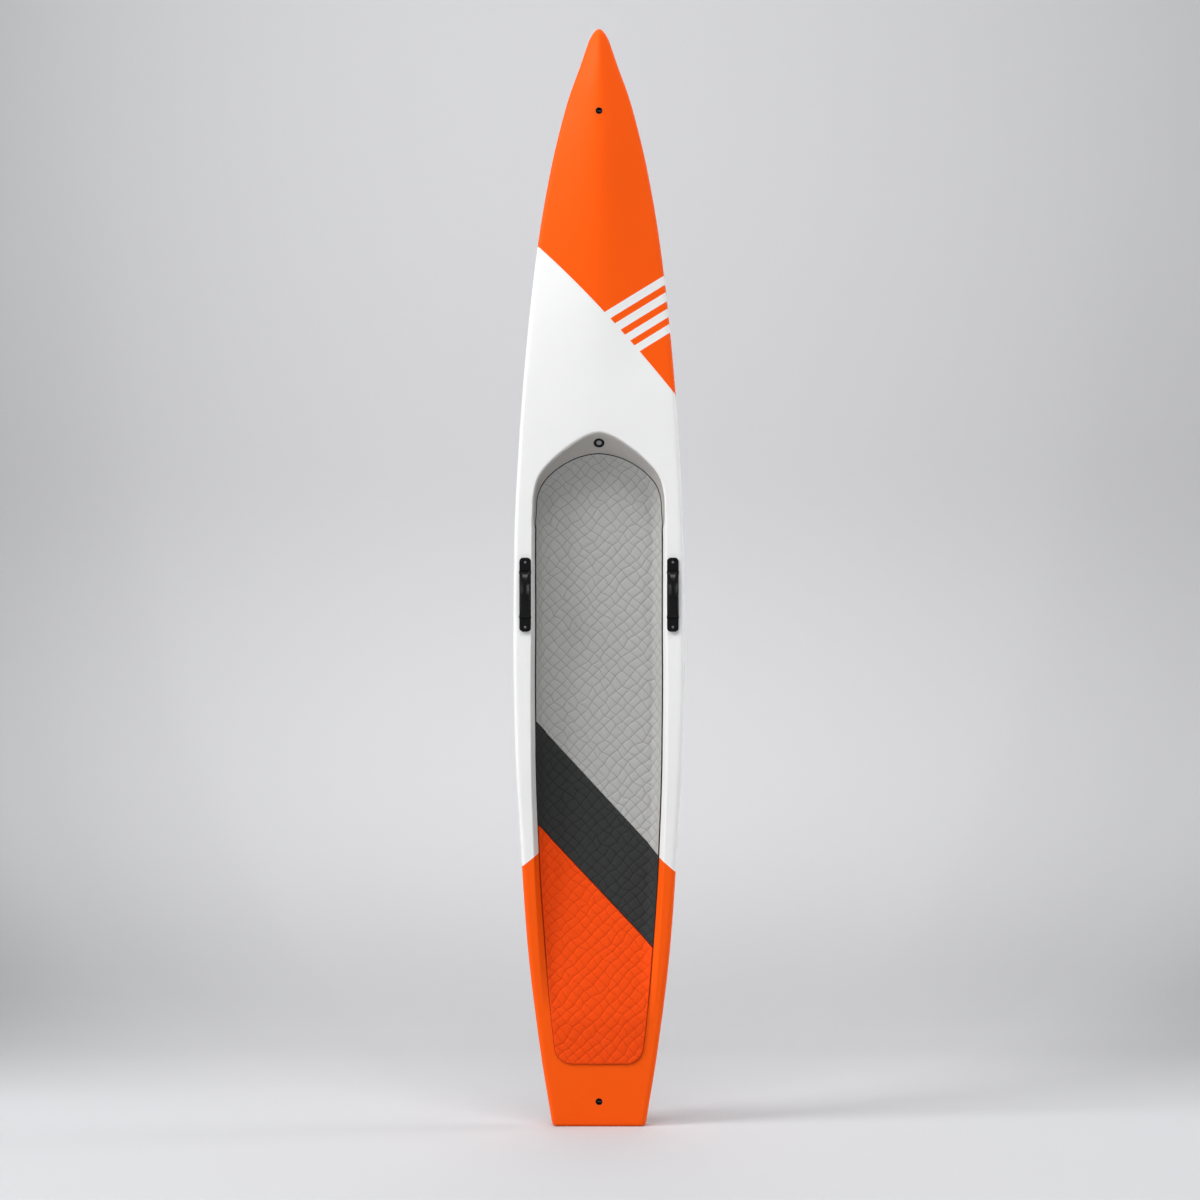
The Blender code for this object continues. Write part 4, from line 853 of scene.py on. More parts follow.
VENT_FLANGE_RADIUS = 0.0207
VENT_BODY_RADIUS = 0.0135
VENT_FLANGE_HEIGHT = 0.0038
LEASH_FLANGE_RADIUS = 0.0133
LEASH_BODY_RADIUS = 0.0118
LEASH_FLANGE_HEIGHT = 0.0022
HANDLE_SCREW_REACH = 0.125
FIN_BOX_WIDTH = 0.027
FIN_BOX_LENGTH = 0.273
FIT_GAP = 0.0003

deck = make_skin("deck_skin", deck_surface(), True)
holes = [
    bore(VENT_FLANGE_RADIUS + FIT_GAP, -FIT_GAP, 0.03, VENT, 48),
    bore(VENT_BODY_RADIUS + FIT_GAP, -0.03, 0.02, VENT, 48),
]
for matrix in (BOW_CUP, TAIL_CUP):
    holes.append(bore(LEASH_FLANGE_RADIUS + FIT_GAP, -LEASH_FLANGE_HEIGHT - FIT_GAP, 0.02, matrix, 48))
    holes.append(bore(LEASH_BODY_RADIUS + FIT_GAP, -0.025, 0.02, matrix, 48))
for matrix in HANDLE.values():
    for reach in (HANDLE_SCREW_REACH, -HANDLE_SCREW_REACH):
        holes.append(bore(0.0053, -0.02, 0.001, matrix, centre=(0.0, reach)))
carve(deck, holes)
piece(smooth(deck, 28.0), "board", "white_laminate", "deck_shell", "standing_well")

hull = make_skin("hull_skin", hull_surface(), False)
pocket = rounded_outline(
    FIN_BOX_WIDTH + 2 * FIT_GAP, FIN_BOX_LENGTH + 2 * FIT_GAP, FIN_BOX_WIDTH / 2 - 0.0007
)
carve(hull, [prism("fin_pocket", pocket, -0.03, 0.01, FIN)])
piece(smooth(hull, 28.0), "board", "white_laminate", "hull_shell")


# Deck pads, cut from one tiled sheet that is laid out flat and then bent over the well


class Bender:
    """Moves points from the flat sheet (across, along, up) onto the well's floor, ramp and walls."""

    def __init__(self):
        self.arcs = np.linspace(0.0, 0.42, 421)
        self.heights = np.linspace(0.2, WELL_CENTRE, 213)
        self.straight = self.table([Slice(z=float(z)) for z in self.heights])
        self.fanned = self.table([Slice(angle=float(a)) for a in np.linspace(0.0, 90.0, 91)])

    def table(self, cuts):
        rows = []
        for cut in cuts:
            if cut.start.z < RAMP_END:
                s, y = self.arcs, np.full_like(self.arcs, -rail_height(cut.start.z))
            else:
                arc, s_line, y_line = cut.walk(cut.rim - RIM_ROUNDING)
                s, y = np.interp(self.arcs, arc, s_line), np.interp(self.arcs, arc, y_line)
            ds, dy = np.gradient(s), np.gradient(y)
            length = np.maximum(np.hypot(ds, dy), 1e-9)
            rows.append(np.stack([s, y, dy / length, -ds / length], axis=1))
        return np.array(rows)

    def look_up(self, table, row, arc):
        i = np.clip(row.astype(int), 0, table.shape[0] - 2)
        j = np.clip((arc * 1000).astype(int), 0, table.shape[1] - 2)
        a, b = (row - i)[:, None], (arc * 1000 - j)[:, None]
        low = table[i, j] * (1 - b) + table[i, j + 1] * b
        high = table[i + 1, j] * (1 - b) + table[i + 1, j + 1] * b
        return low * (1 - a) + high * a

    def bend(self, points, lift):
        u, v, up = points[:, 0], points[:, 1], points[:, 2] + lift
        side = np.where(u < 0, -1.0, 1.0)
        out = np.empty_like(points)
        step = self.heights[1] - self.heights[0]
        found = self.look_up(self.straight, np.clip((v - self.heights[0]) / step, 0, None), np.abs(u))
        out[:, 0] = side * (found[:, 0] + found[:, 2] * up)
        out[:, 1] = found[:, 1] + found[:, 3] * up
        out[:, 2] = v
        front = v > WELL_CENTRE
        ahead, across = v[front] - WELL_CENTRE, np.abs(u[front])
        angle = np.degrees(np.arctan2(ahead, across))
        found = self.look_up(self.fanned, angle, np.hypot(ahead, across))
        reach = found[:, 0] + found[:, 2] * up[front]
        out[front, 0] = side[front] * reach * np.cos(np.radians(angle))
        out[front, 1] = found[:, 1] + found[:, 3] * up[front]
        out[front, 2] = WELL_CENTRE + reach * np.sin(np.radians(angle))
        return out


def half_flat_width(z):
    """Half the flat sheet's width at a height: the way over floor, fillet and wall to the pad's edge."""
    if z < RAMP_END:
        short = max(0.0, PAD_REAR + PAD_REAR_RADIUS - z)
        return pad_x(z) - PAD_REAR_RADIUS + math.sqrt(max(0.0, PAD_REAR_RADIUS**2 - short**2))
    return float(Slice(z=z).walk()[0][-1])


def flat_across(x, z):
    """Where a place at x on the bent pad lies on the flat sheet."""
    if z < RAMP_END:
        return x
    arc, s, _ = Slice(z=z).walk()
    return math.copysign(float(np.interp(abs(x), s, arc)), x)


def side_points(side, low, high):
    count = max(2, math.ceil((high - low) / 0.02))
    return [(side * half_flat_width(z), z) for z in [low] + evenly(low, high, count)]


def join_points(line, offset):
    """The diagonal join on the flat sheet, from the left edge to the right one."""
    level, slope = line
    points = []
    for x in [-0.35] + evenly(-0.35, 0.35, 140):
        z = level + offset - slope * x
        if PAD_REAR < z < WELL_CENTRE and abs(x) <= pad_x(z):
            points.append((flat_across(x, z), z))
    return points


def side_crossing(line, offset, side):
    """The height at which a diagonal join meets the pad's left or right edge."""
    level, slope = line
    z = level
    for _ in range(40):
        z = level + offset - slope * side * pad_x(z)
    return z


def rear_edge():
    turns = [math.radians(90 * k / 12) for k in range(13)]
    heights = [PAD_REAR + PAD_REAR_RADIUS * (1 - math.cos(turn)) for turn in turns]
    return [(half_flat_width(z), z) for z in heights]


def front_edge():
    points = []
    for angle in range(3, 181, 3):
        reach = float(Slice(angle=min(angle, 180 - angle)).walk()[0][-1])
        turn = math.radians(angle)
        points.append((reach * math.cos(turn), WELL_CENTRE + reach * math.sin(turn)))
    return points


def pad_outlines():
    """The outlines of the grey, charcoal and orange pad on the flat sheet."""
    upper, lower = PAD_LINES
    gap = PAD_JOIN_GAP / 2 * math.hypot(1, upper[1])
    corner = PAD_REAR + PAD_REAR_RADIUS
    crossing = {
        (line, offset, side): side_crossing(line, offset, side)
        for line in PAD_LINES for offset in (gap, -gap) for side in (1, -1)
    }
    grey = side_points(1, crossing[upper, gap, 1], WELL_CENTRE) + front_edge()
    grey += side_points(-1, crossing[upper, gap, -1], WELL_CENTRE)[::-1][1:]
    grey += join_points(upper, gap)[1:-1]
    charcoal = side_points(1, crossing[lower, gap, 1], crossing[upper, -gap, 1])
    charcoal += join_points(upper, -gap)[1:-1][::-1]
    charcoal += side_points(-1, crossing[lower, gap, -1], crossing[upper, -gap, -1])[::-1]
    charcoal += join_points(lower, gap)[1:-1]
    rear = rear_edge()
    orange = rear + side_points(1, corner, crossing[lower, -gap, 1])[1:]
    orange += join_points(lower, -gap)[1:-1][::-1]
    orange += side_points(-1, corner, crossing[lower, -gap, -1])[::-1][:-1]
    orange += [(-x, z) for x, z in reversed(rear)]
    return grey, charcoal, orange


def inset(outline, distance):
    """The outline moved inwards, for one that runs anticlockwise."""
    out = []
    for i, point in enumerate(outline):
        before, here, after = Vector(outline[i - 1]), Vector(point), Vector(outline[(i + 1) % len(outline)])
        first, second = (here - before).normalized(), (after - here).normalized()
        left = Vector((-first.y, first.x)) + Vector((-second.y, second.x))
        left.normalize()
        stretch = 1 / max(0.5, left.dot(Vector((-first.y, first.x))))
        out.append(tuple(here + left * distance * stretch))
    return out


def thinned(outline, apart=0.003):
    kept = [outline[0]]
    for point in outline[1:]:
        if math.dist(point, kept[-1]) > apart:
            kept.append(point)
    if math.dist(kept[0], kept[-1]) < apart:
        kept.pop()
    return kept


def warped(u, v):
    """A place on the sheet moved by slow seeded noise, so that the tiles are uneven."""
    coarse = noise.noise_vector(Vector((u * 9.0 + 3.1, v * 9.0, 1.7)))
    fine = noise.noise_vector(Vector((u * 31.0 - 5.0, v * 31.0, 8.3)))
    moved_u = u + TILE_WARP * 1.5 * coarse.x + TILE_WARP * 0.5 * fine.x
    moved_v = v + TILE_WARP * 1.5 * coarse.y + TILE_WARP * 0.5 * fine.y
    return moved_u, moved_v


def tile_sheet(low, high):
    """A flat slab whose top is embossed with a net of uneven tiles."""
    work = bmesh.new()
    verts = {}
    step = TILE * math.sqrt(0.5)
    edge = GROOVE_WIDTH / TILE
    shares = [0.0] + [edge + (1 - 2 * edge) * k / TILE_STEPS for k in range(TILE_STEPS + 1)] + [1.0]
    last = len(shares) - 2

    def crossing(i, j):
        """Where two grooves cross: a place on a regular net, moved at random."""
        shift_u = noise.cell(Vector((i * 1.37, j * 2.11, 0.5))) - 0.5
        shift_v = noise.cell(Vector((i * 0.73, j * 1.9, 4.5))) - 0.5
        u, v = (i - j) * step, low + (i + j) * step
        return u + step * TILE_JITTER * shift_u, v + step * TILE_JITTER * shift_v

    def vert(i, j, a, b):
        key = (round((i + a) * 1e4), round((j + b) * 1e4))
        if key not in verts:
            p, q, r, s = crossing(i, j), crossing(i + 1, j), crossing(i + 1, j + 1), crossing(i, j + 1)
            place = [
                (p[n] * (1 - a) + q[n] * a) * (1 - b) + (s[n] * (1 - a) + r[n] * a) * b for n in (0, 1)
            ]
            deep = a in (0.0, 1.0) or b in (0.0, 1.0)
            swell = TILE_SWELL * math.sin(math.pi * a) * math.sin(math.pi * b)
            height = PAD_THICKNESS - (GROOVE_DEPTH if deep else 0.0) + swell
            verts[key] = work.verts.new((*warped(*place), height))
        return verts[key]

    count = int((high - low) / step) + 2
    for i in range(-20, count):
        for j in range(-20, count):
            u, v = (i - j) * step, low + (i + j + 1) * step
            if abs(u) > SHEET_HALF_WIDTH or not low - 2 * TILE < v < high + 2 * TILE:
                continue
            for m in range(last + 1):
                for n in range(last + 1):
                    corners = ((m, n), (m + 1, n), (m + 1, n + 1), (m, n + 1))
                    face = work.faces.new([vert(i, j, shares[a], shares[b]) for a, b in corners])
                    # Groove faces take the second, darker material: painted shade in the grooves.
                    face.material_index = 1 if {m, n} & {0, last} else 0
    top_faces = work.faces[:]
    bmesh.ops.recalc_face_normals(work, faces=top_faces)
    if sum(f.normal.z for f in top_faces) < 0:
        bmesh.ops.reverse_faces(work, faces=top_faces)
    skirt = bmesh.ops.extrude_edge_only(work, edges=[e for e in work.edges if e.is_boundary])
    for v in of_kind(skirt, bmesh.types.BMVert):
        v.co.z = -0.01
    loop = [e for e in of_kind(skirt, bmesh.types.BMEdge) if e.is_boundary]
    bmesh.ops.holes_fill(work, edges=loop, sides=0)
    divide_large_faces(work)
    face_outwards(work)
    return from_bmesh("tile_sheet", work)


def divided_underside(obj):
    """Cuts the pad's flat underside into a grid, so that it can bend with the top."""
    work = bmesh.new()
    work.from_mesh(obj.data)
    low, high = min(v.co.y for v in work.verts), max(v.co.y for v in work.verts)
    planes = [((0.024 * k, 0, 0), (1, 0, 0)) for k in range(-15, 16)]
    planes += [((0, z, 0), (0, 1, 0)) for z in np.arange(low + 0.02, high - 0.005, 0.03)]
    for place, normal in planes:
        slit(work, [f for f in work.faces if f.normal.z < -0.5], place, normal)
    divide_large_faces(work)
    work.to_mesh(obj.data)
    work.free()


def outline_block(outline, materials):
    """What cuts one pad out of the sheet: its outline below, and a slightly smaller one on top."""
    outline = thinned(outline)
    area = sum(a[0] * b[1] - b[0] * a[1] for a, b in zip(outline, outline[1:] + outline[:1]))
    if area < 0:
        outline = outline[::-1]
    levels = ((0.0, 0.0), (0.55, 0.0), (0.86, 0.35), (1.2, 1.4))
    work = bmesh.new()
    loft(work, [[(x, y, PAD_THICKNESS * up) for x, y in inset(outline, PAD_BEVEL * d)] for up, d in levels])
    divide_large_faces(work)
    face_outwards(work)
    # The block's faces give the pad's cut edges the last, dark material: a painted shadow line.
    for face in work.faces:
        face.material_index = len(materials) - 1
    block = from_bmesh("pad_outline", work)
    for material in materials:
        block.data.materials.append(material)
    return block


def make_pads():
    noise.seed_set(TILE_SEED)
    bender = Bender()
    # Each pad: its foam, a darker copy for the grooves as painted shade, and a dark cut edge as painted
    # shadow.
    looks = (
        ("grey_pad", GREY_PAD, GREY_GROOVE_SHADE, PAD_EDGE_SHADOW),
        ("charcoal_pad", CHARCOAL_PAD, CHARCOAL_GROOVE_SHADE, PAD_EDGE_SHADOW),
        ("orange_pad", ORANGE_PAD, ORANGE_GROOVE_SHADE, ORANGE_EDGE_SHADOW),
    )
    for outline, (name, *materials) in zip(pad_outlines(), looks):
        ends = [z for _, z in outline]
        sheet = tile_sheet(min(ends) - 0.05, max(ends) + 0.05)
        sheet.name = name + "_sheet"
        for material in materials:
            sheet.data.materials.append(material)
        carve(sheet, [outline_block(outline, materials)], "INTERSECT")
        divided_underside(sheet)
        places = np.empty(len(sheet.data.vertices) * 3)
        sheet.data.vertices.foreach_get("co", places)
        bent = bender.bend(places.reshape(-1, 3), PAD_GAP)
        bent[:, 1] += SEAM_Y
        sheet.data.vertices.foreach_set("co", bent.ravel())
        sheet.data.update()
        work = bmesh.new()
        work.from_mesh(sheet.data)
        face_outwards(work)
        work.to_mesh(sheet.data)
        work.free()
        piece(smooth(sheet, 50.0), "board", name, "deck_pad_" + name.removesuffix("_pad"))


make_pads()


# Collar on the well's front wall


def collar_ring(angle):
    """The collar's section at an angle round the well, with rounded ends and a thin start and finish."""
    turn, from_side = math.radians(angle), min(angle, 180 - angle)
    cut = Slice(angle=from_side)
    direction = Vector((math.cos(turn), 0.0, math.sin(turn)))
    low, high = cut.edge + 0.0008, cut.rim - COLLAR_MARGIN
    from_end = min(1.0, (from_side - COLLAR_END) / 16.0)
    high = low + (high - low) * (0.04 + 0.96 * from_end * (2 - from_end))
    length = math.hypot(1.0, cut.slope)
    normal = (-cut.slope / length, -1.0 / length)
    width = (high - low) * length
    edge = min(0.0009, 0.2 * width)
    thickness = COLLAR_THICKNESS * min(1.0, 0.3 + width / 0.012)
    section = [(0.0, 0.0), (0.0, 0.55), (edge * 0.4, 0.88), (edge, 1.0)]
    section += [(edge + (width - 2 * edge) * share, 1.0) for share in (0.2, 0.4, 0.6, 0.8)]
    section += [(width - edge, 1.0), (width - edge * 0.4, 0.88), (width, 0.55), (width, 0.0)]
    section += [(width * share, 0.0) for share in (0.75, 0.5, 0.25)]
    ring = []
    for along, rise in section:
        s = low + along / length
        lift = COLLAR_GAP + thickness * rise
        y = cut.top + cut.slope * (cut.rim - s) + normal[1] * lift
        ring.append(cut.start + direction * (s + normal[0] * lift) + Vector((0.0, y + SEAM_Y, 0.0)))
    return ring


angles = [COLLAR_END] + evenly(COLLAR_END, 180.0 - COLLAR_END, 116)
collar = lofted("collar_sheet", [collar_ring(a) for a in angles])
carve(collar, [bore(VENT_FLANGE_RADIUS + 0.0006, -0.02, 0.02, VENT, 64)])
finished(collar, COLLAR_FOAM, "plain_pad", "cockpit_collar", angle=40.0)


# Vent: profiles as (radius, height), and a third number where the corner is rounded

TOP = VENT_FLANGE_HEIGHT
HEAD_WELL = TOP - 0.0024 - TOP * 0.5
SEAT = HEAD_WELL - 0.0024
THREAD_END = SEAT - 0.013
LEDGE = THREAD_END - 0.0012
HOUSING = (
    (VENT_FLANGE_RADIUS, 0.0), (VENT_BODY_RADIUS, 0.0), (VENT_BODY_RADIUS, -0.026, 0.0008),
    (0.003, -0.026), (0.003, LEDGE), (0.0068, LEDGE), (0.0068, SEAT), (0.00962, SEAT), (0.00962, HEAD_WELL),
    (0.0108, HEAD_WELL), (0.0108, TOP - 0.0002, 0.0004), (0.0122, TOP - 0.0002, 0.0004),
    (0.0138, TOP - 0.0013, 0.0006), (0.0176, TOP - 0.0013, 0.0006), (0.0190, TOP, 0.0004),
    (VENT_FLANGE_RADIUS, TOP - 0.0002, 0.0009),
)
PLUG = (
    (0.0, TOP - 0.0004), (0.0097, TOP - 0.0004, 0.0005), (0.0105, TOP - 0.0012, 0.0003),
    (0.0105, HEAD_WELL + FIT_GAP), (0.0053, HEAD_WELL + FIT_GAP), (0.0053, SEAT - FIT_GAP),
    (0.0065, SEAT - FIT_GAP), (0.0065, THREAD_END + 0.0006, 0.0006), (0.0, THREAD_END + 0.0006),
)

finished(turned("vent_ring", HOUSING, 64, VENT), BLACK, "black_plastic", "vent_housing")

plug = turned("vent_cap", PLUG, 64, VENT)
lobes = []
for turn in range(4):
    at = math.radians(45 + 90 * turn)
    centre = (0.0058 * math.cos(at), 0.0058 * math.sin(at))
    lobes.append(bore(0.0021, TOP - 0.0019, TOP + 0.002, VENT, centre=centre))
carve(plug, [*lobes, bore(0.0017, TOP - 0.0016, TOP + 0.002, VENT)])
finished(plug, GREY_METAL, "grey_metal", "vent_plug", "vent_plug")


# Leash cups and their cross pins

CUP_HOLE, CUP_DEPTH = 0.0096, 0.022
CUP = (
    (CUP_HOLE, -0.0004, 0.0003), (0.0104, 0.0, 0.0003), (LEASH_FLANGE_RADIUS - 0.0008, 0.0, 0.0004),
    (LEASH_FLANGE_RADIUS, -0.0008, 0.0003), (LEASH_FLANGE_RADIUS, -LEASH_FLANGE_HEIGHT),
    (LEASH_BODY_RADIUS, -LEASH_FLANGE_HEIGHT), (LEASH_BODY_RADIUS, -CUP_DEPTH, 0.001), (0.0, -CUP_DEPTH),
    (0.0, -0.018), (CUP_HOLE, -0.018, 0.002),
)
CUP_PIN = Matrix.Translation((0.0, 0.0, -0.005)) @ Matrix.Rotation(math.pi / 2, 4, "Y")

for end, matrix in (("bow", BOW_CUP), ("tail", TAIL_CUP)):
    cup = turned(f"{end}_cup", CUP, 56, Matrix())
    carve(cup, [bore(0.0018, -0.011, 0.011, CUP_PIN)])
    cup.data.transform(matrix)
    finished(cup, BLACK, "black_plastic", f"{end}_leash_cup")
    pin = prism(f"{end}_cross_pin", circle(0.0015, 28), -0.0107, 0.0107, matrix @ CUP_PIN, 0.0003, 2)
    finished(pin, PIN_STEEL, "stainless_steel", f"{end}_leash_pin")


# Handles

HANDLE_LENGTH = 0.286
HANDLE_WIDTH = 0.045
HANDLE_CORNER = 0.015
GRIP_SPAN = 0.179
GRIP_BASE = 0.0051
GRIP_END_WIDTH = 0.0495
GRIP_MIDDLE_WIDTH = 0.033
ARCH_HEIGHT = 0.028
PAD_HEIGHT = 0.005
HEAD_SEAT = GRIP_BASE + PAD_HEIGHT - 0.0029
HEAD_TOP = HEAD_SEAT + 0.0026
HANDLE_BOLT = (
    (0.0, HEAD_TOP), (0.0042, HEAD_TOP, 0.0005), (0.0052, HEAD_TOP - 0.0013, 0.0004),
    (0.0052, HEAD_SEAT + FIT_GAP), (0.003, HEAD_SEAT + FIT_GAP), (0.003, -0.012, 0.0006), (0.0, -0.012),
)


def grip_ring(along):
    """The grip's section: a narrow level strip, two bevels that catch the light, and steep dark sides."""
    reach, half_span = abs(along), GRIP_SPAN / 2
    if reach >= half_span:
        short = max(0.0, HANDLE_CORNER - (HANDLE_LENGTH / 2 - reach))
        round_off = HANDLE_CORNER - math.sqrt(max(0.0, HANDLE_CORNER**2 - short**2))
        half, low, high = HANDLE_WIDTH / 2 - 0.0003 - round_off, GRIP_BASE, GRIP_BASE + PAD_HEIGHT
        if reach < half_span + 0.004:
            high -= 0.0024
        strip, bevel_drop = 0.86, 0.0009
    else:
        arch = math.sin(math.pi / 2 * (1 - reach / half_span)) ** 0.85
        half = (GRIP_END_WIDTH + (GRIP_MIDDLE_WIDTH - GRIP_END_WIDTH) * arch) / 2
        low = GRIP_BASE + ARCH_HEIGHT * arch
        high = low + PAD_HEIGHT + 0.0045 * min(1.0, 3 * arch)
        ease = min(1.0, 5 * arch)
        strip, bevel_drop = 0.86 - (0.36 + 0.14 * arch) * ease, 0.0009 + 0.0026 * ease
    bevel_drop = min(bevel_drop, 0.45 * (high - low))
    shoulder = min(half * (strip + 1.0) / 2 + 0.002, half - 0.0012)
    right = [
        (half * 0.72, low), (half - 0.0012, low + 0.0004), (half, low + 0.0016),
        (half, high - bevel_drop - 0.0012), (half - 0.0004, high - bevel_drop),
        (shoulder, high - bevel_drop * 0.72), (half * strip, high - 0.0002), (half * strip * 0.92, high),
        (half * strip * 0.45, high - 0.0002 * min(1.0, half * 100)),
    ]
    return [Vector((x, along, h)) for x, h in right + [(-x, h) for x, h in reversed(right)]]


def grip_places():
    end, span = HANDLE_LENGTH / 2, GRIP_SPAN / 2
    angles = (12, 24, 36, 48, 60, 72, 82, 90)
    shares = (0.996, 0.985, 0.965, 0.94, 0.905, 0.86, 0.81, 0.75, 0.68, 0.6, 0.51, 0.41, 0.3, 0.2, 0.1)
    half = [end - HANDLE_CORNER * (1 - math.cos(math.radians(a))) for a in angles]
    half += [span + past for past in (0.009, 0.0048, 0.0036, 0.0008)]
    half += [span * share for share in shares]
    return half + [0.0] + [-p for p in reversed(half)]


for side, matrix in HANDLE.items():
    word = "right" if side > 0 else "left"
    ends = (("upper", (0.0, HANDLE_SCREW_REACH)), ("lower", (0.0, -HANDLE_SCREW_REACH)))
    plate = rounded_outline(HANDLE_WIDTH, HANDLE_LENGTH, HANDLE_CORNER)
    base = prism(f"handle_plate_{word}", plate, 0.0003, 0.0048, matrix, 0.0008)
    carve(base, [bore(0.0033, -0.001, 0.03, matrix, centre=at) for _, at in ends])
    grip = lofted(f"handle_arch_{word}", [grip_ring(p) for p in grip_places()], matrix)
    shanks = [bore(0.0033, -0.001, 0.03, matrix, centre=at) for _, at in ends]
    carve(grip, shanks + [bore(0.0055, HEAD_SEAT, 0.03, matrix, 32, at) for _, at in ends])
    for obj, node in ((base, f"handle_base_{word}"), (grip, f"handle_grip_{word}")):
        finished(obj, BLACK, "black_plastic", node, angle=38.0)
    for end, at in ends:
        place = matrix @ Matrix.Translation((*at, 0.0))
        screw = turned(f"handle_bolt_{word}_{end}", HANDLE_BOLT, 40, place)
        carve(screw, [bore(0.0023, HEAD_TOP - 0.0017, HEAD_TOP + 0.01, place, 6)])
        finished(screw, DARK_STEEL, "stainless_steel", f"handle_screw_{word}_{end}")


# Fin and its box

FIN_BASE_LENGTH = 0.15
FIN_BASE_DEPTH = 0.0205
FIN_THICKNESS = 0.009
FIN_TONGUE_LENGTH = 0.022
FIN_HEIGHT = 0.2
FIN_TIP_CHORD = 0.062
FIN_SWEEP = 0.085
FOIL = (
    (0.0, 0.12), (0.015, 0.36), (0.05, 0.62), (0.1, 0.8), (0.18, 0.95), (0.28, 1.0), (0.42, 0.99),
    (0.56, 0.88), (0.7, 0.7), (0.84, 0.42), (0.94, 0.2), (1.0, 0.1),
)
FIN_BOLT = (
    (0.0, -0.0004), (0.0036, -0.0004, 0.0004), (0.0036, -0.0022), (0.002, -0.0022),
    (0.002, -0.0133, 0.0004), (0.0, -0.0133),
)
FIN_ROOT = 0.0018
SLOT_MARGIN = 0.014
SLOT_HALF_WIDTH = 0.0049
GROOVE_HALF_WIDTH = SLOT_HALF_WIDTH + 0.00335
GROOVE_TOP = -0.0075
GROOVE_LOW = GROOVE_TOP - 0.0046


def fin_ring(height):
    share = height / FIN_HEIGHT
    chord = FIN_BASE_LENGTH + (FIN_TIP_CHORD - FIN_BASE_LENGTH) * share**1.15
    chord *= math.sqrt(max(1 - max(0.0, (share - 0.8) / 0.2) ** 2 * 0.75, 0.0))
    thick = FIN_THICKNESS / 2 * (1 - 0.45 * share)
    front = -FIN_BASE_LENGTH / 2 + FIN_SWEEP * share**1.5
    right = [Vector((thick * width, front + chord * along, height)) for along, width in FOIL]
    return right + [Vector((-p.x, p.y, p.z)) for p in reversed(right)]


heights = [FIN_ROOT + (FIN_HEIGHT - FIN_ROOT) * (k / 26) for k in range(20)]
heights += [FIN_HEIGHT * share for share in (0.78, 0.82, 0.86, 0.9, 0.935, 0.965, 0.985, 1.0)]
blade = lofted("race_fin", [fin_ring(h) for h in heights], FIN)
half, wide = FIN_BASE_LENGTH / 2, FIN_THICKNESS / 2
foot_outline = rounded_outline(FIN_THICKNESS, FIN_BASE_LENGTH, 0.0012, 3)
right_tongue = [(wide * 0.6, -half - FIN_TONGUE_LENGTH), (wide, -half - 0.019), (wide, -half + 0.004)]
left_tongue = [(-wide, -half + 0.004), (-wide, -half - 0.019), (-wide * 0.6, -half - FIN_TONGUE_LENGTH)]
foot = prism("fin_foot", foot_outline, -FIN_BASE_DEPTH, 0.003, FIN, 0.0004, 2)
tongue = prism("fin_tongue", right_tongue + left_tongue, -0.0049, -0.0004, FIN)
carve(blade, [foot, tongue], "UNION")
pin_at = Matrix.Translation((0.0, half - 0.012, -0.0098)) @ Matrix.Rotation(math.pi / 2, 4, "Y")
screw_place = (0.0, -half - FIN_TONGUE_LENGTH / 2)
carve(blade, [
    bore(0.0022, -0.012, 0.012, FIN @ pin_at),
    bore(0.0023, -0.03, 0.01, FIN, centre=screw_place),
    bore(0.0039, -0.0025, 0.01, FIN, 28, screw_place),
])
finished(blade, FIN_BLACK, "black_plastic", "fin", "fin", 30.0)

screw_at = FIN @ Matrix.Translation((*screw_place, 0.0))
fin_bolt = turned("fin_bolt", FIN_BOLT, 36, screw_at)
carve(fin_bolt, [channel(0.004, -0.0004, 0.0004, -0.0012, 0.002, screw_at)])
finished(fin_bolt, STEEL, "stainless_steel", "fin_screw", "fin")

rail = rounded_outline(FIN_BOX_WIDTH, FIN_BOX_LENGTH, FIN_BOX_WIDTH / 2 - 0.001, 12)
fin_box = prism("fin_box_rail", rail, -0.027, 0.0, FIN, 0.0005, 2)
start, end = SLOT_MARGIN - FIN_BOX_LENGTH / 2, FIN_BOX_LENGTH / 2 - SLOT_MARGIN
carve(fin_box, [
    channel(SLOT_HALF_WIDTH, start, end, -0.0225, 0.01, FIN),
    channel(GROOVE_HALF_WIDTH, start + 0.0003, end - 0.0003, GROOVE_LOW, GROOVE_TOP, FIN),
    channel(GROOVE_HALF_WIDTH - 0.0003, start + 0.0006, start + 0.0142, GROOVE_LOW + 0.0003, 0.01, FIN),
])
finished(fin_box, BLACK, "black_plastic", "fin_box")


# Finishes of the CAD nodes that stay

KEPT_LOOKS = (
    ("foam_core", CORE), ("stringer", WOOD), ("fin_box_block", DENSE), ("handle_block", DENSE),
    ("handle_insert", BRASS), ("fin_nut", BRASS), ("fin_pin", STEEL), ("vent_oring", BLACK_RUBBER),
    ("vent_membrane", CLOTH),
)
for name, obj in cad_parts.items():
    for start, material in KEPT_LOOKS:
        if name.startswith(start):
            coat(obj, material)


# Stage, lights and camera

SWEEP_START = 1.0
SWEEP_RADIUS = 2.6
FADE_START = 7.0
FADE_END = 13.0
BACKGROUND = (0.6, 0.607, 0.622)
PAPER_TINT = (0.985, 0.992, 1.02, 1.0)
# Tones of the paper, with painted shade aside, towards the top of the wall and along the curve.
FLOOR_TONE = 0.53
WALL_TONE = 0.592
LEFT_SHADE = 0.155
RIGHT_SHADE = 0.085
TOP_SHADE = 0.06
CURVE_SHADE = 0.13
SENSOR_WIDTH = 36.0
FOCAL_LENGTH = 107.87
CAMERA_PLACE = (0.0039, -14.0, 2.0415)


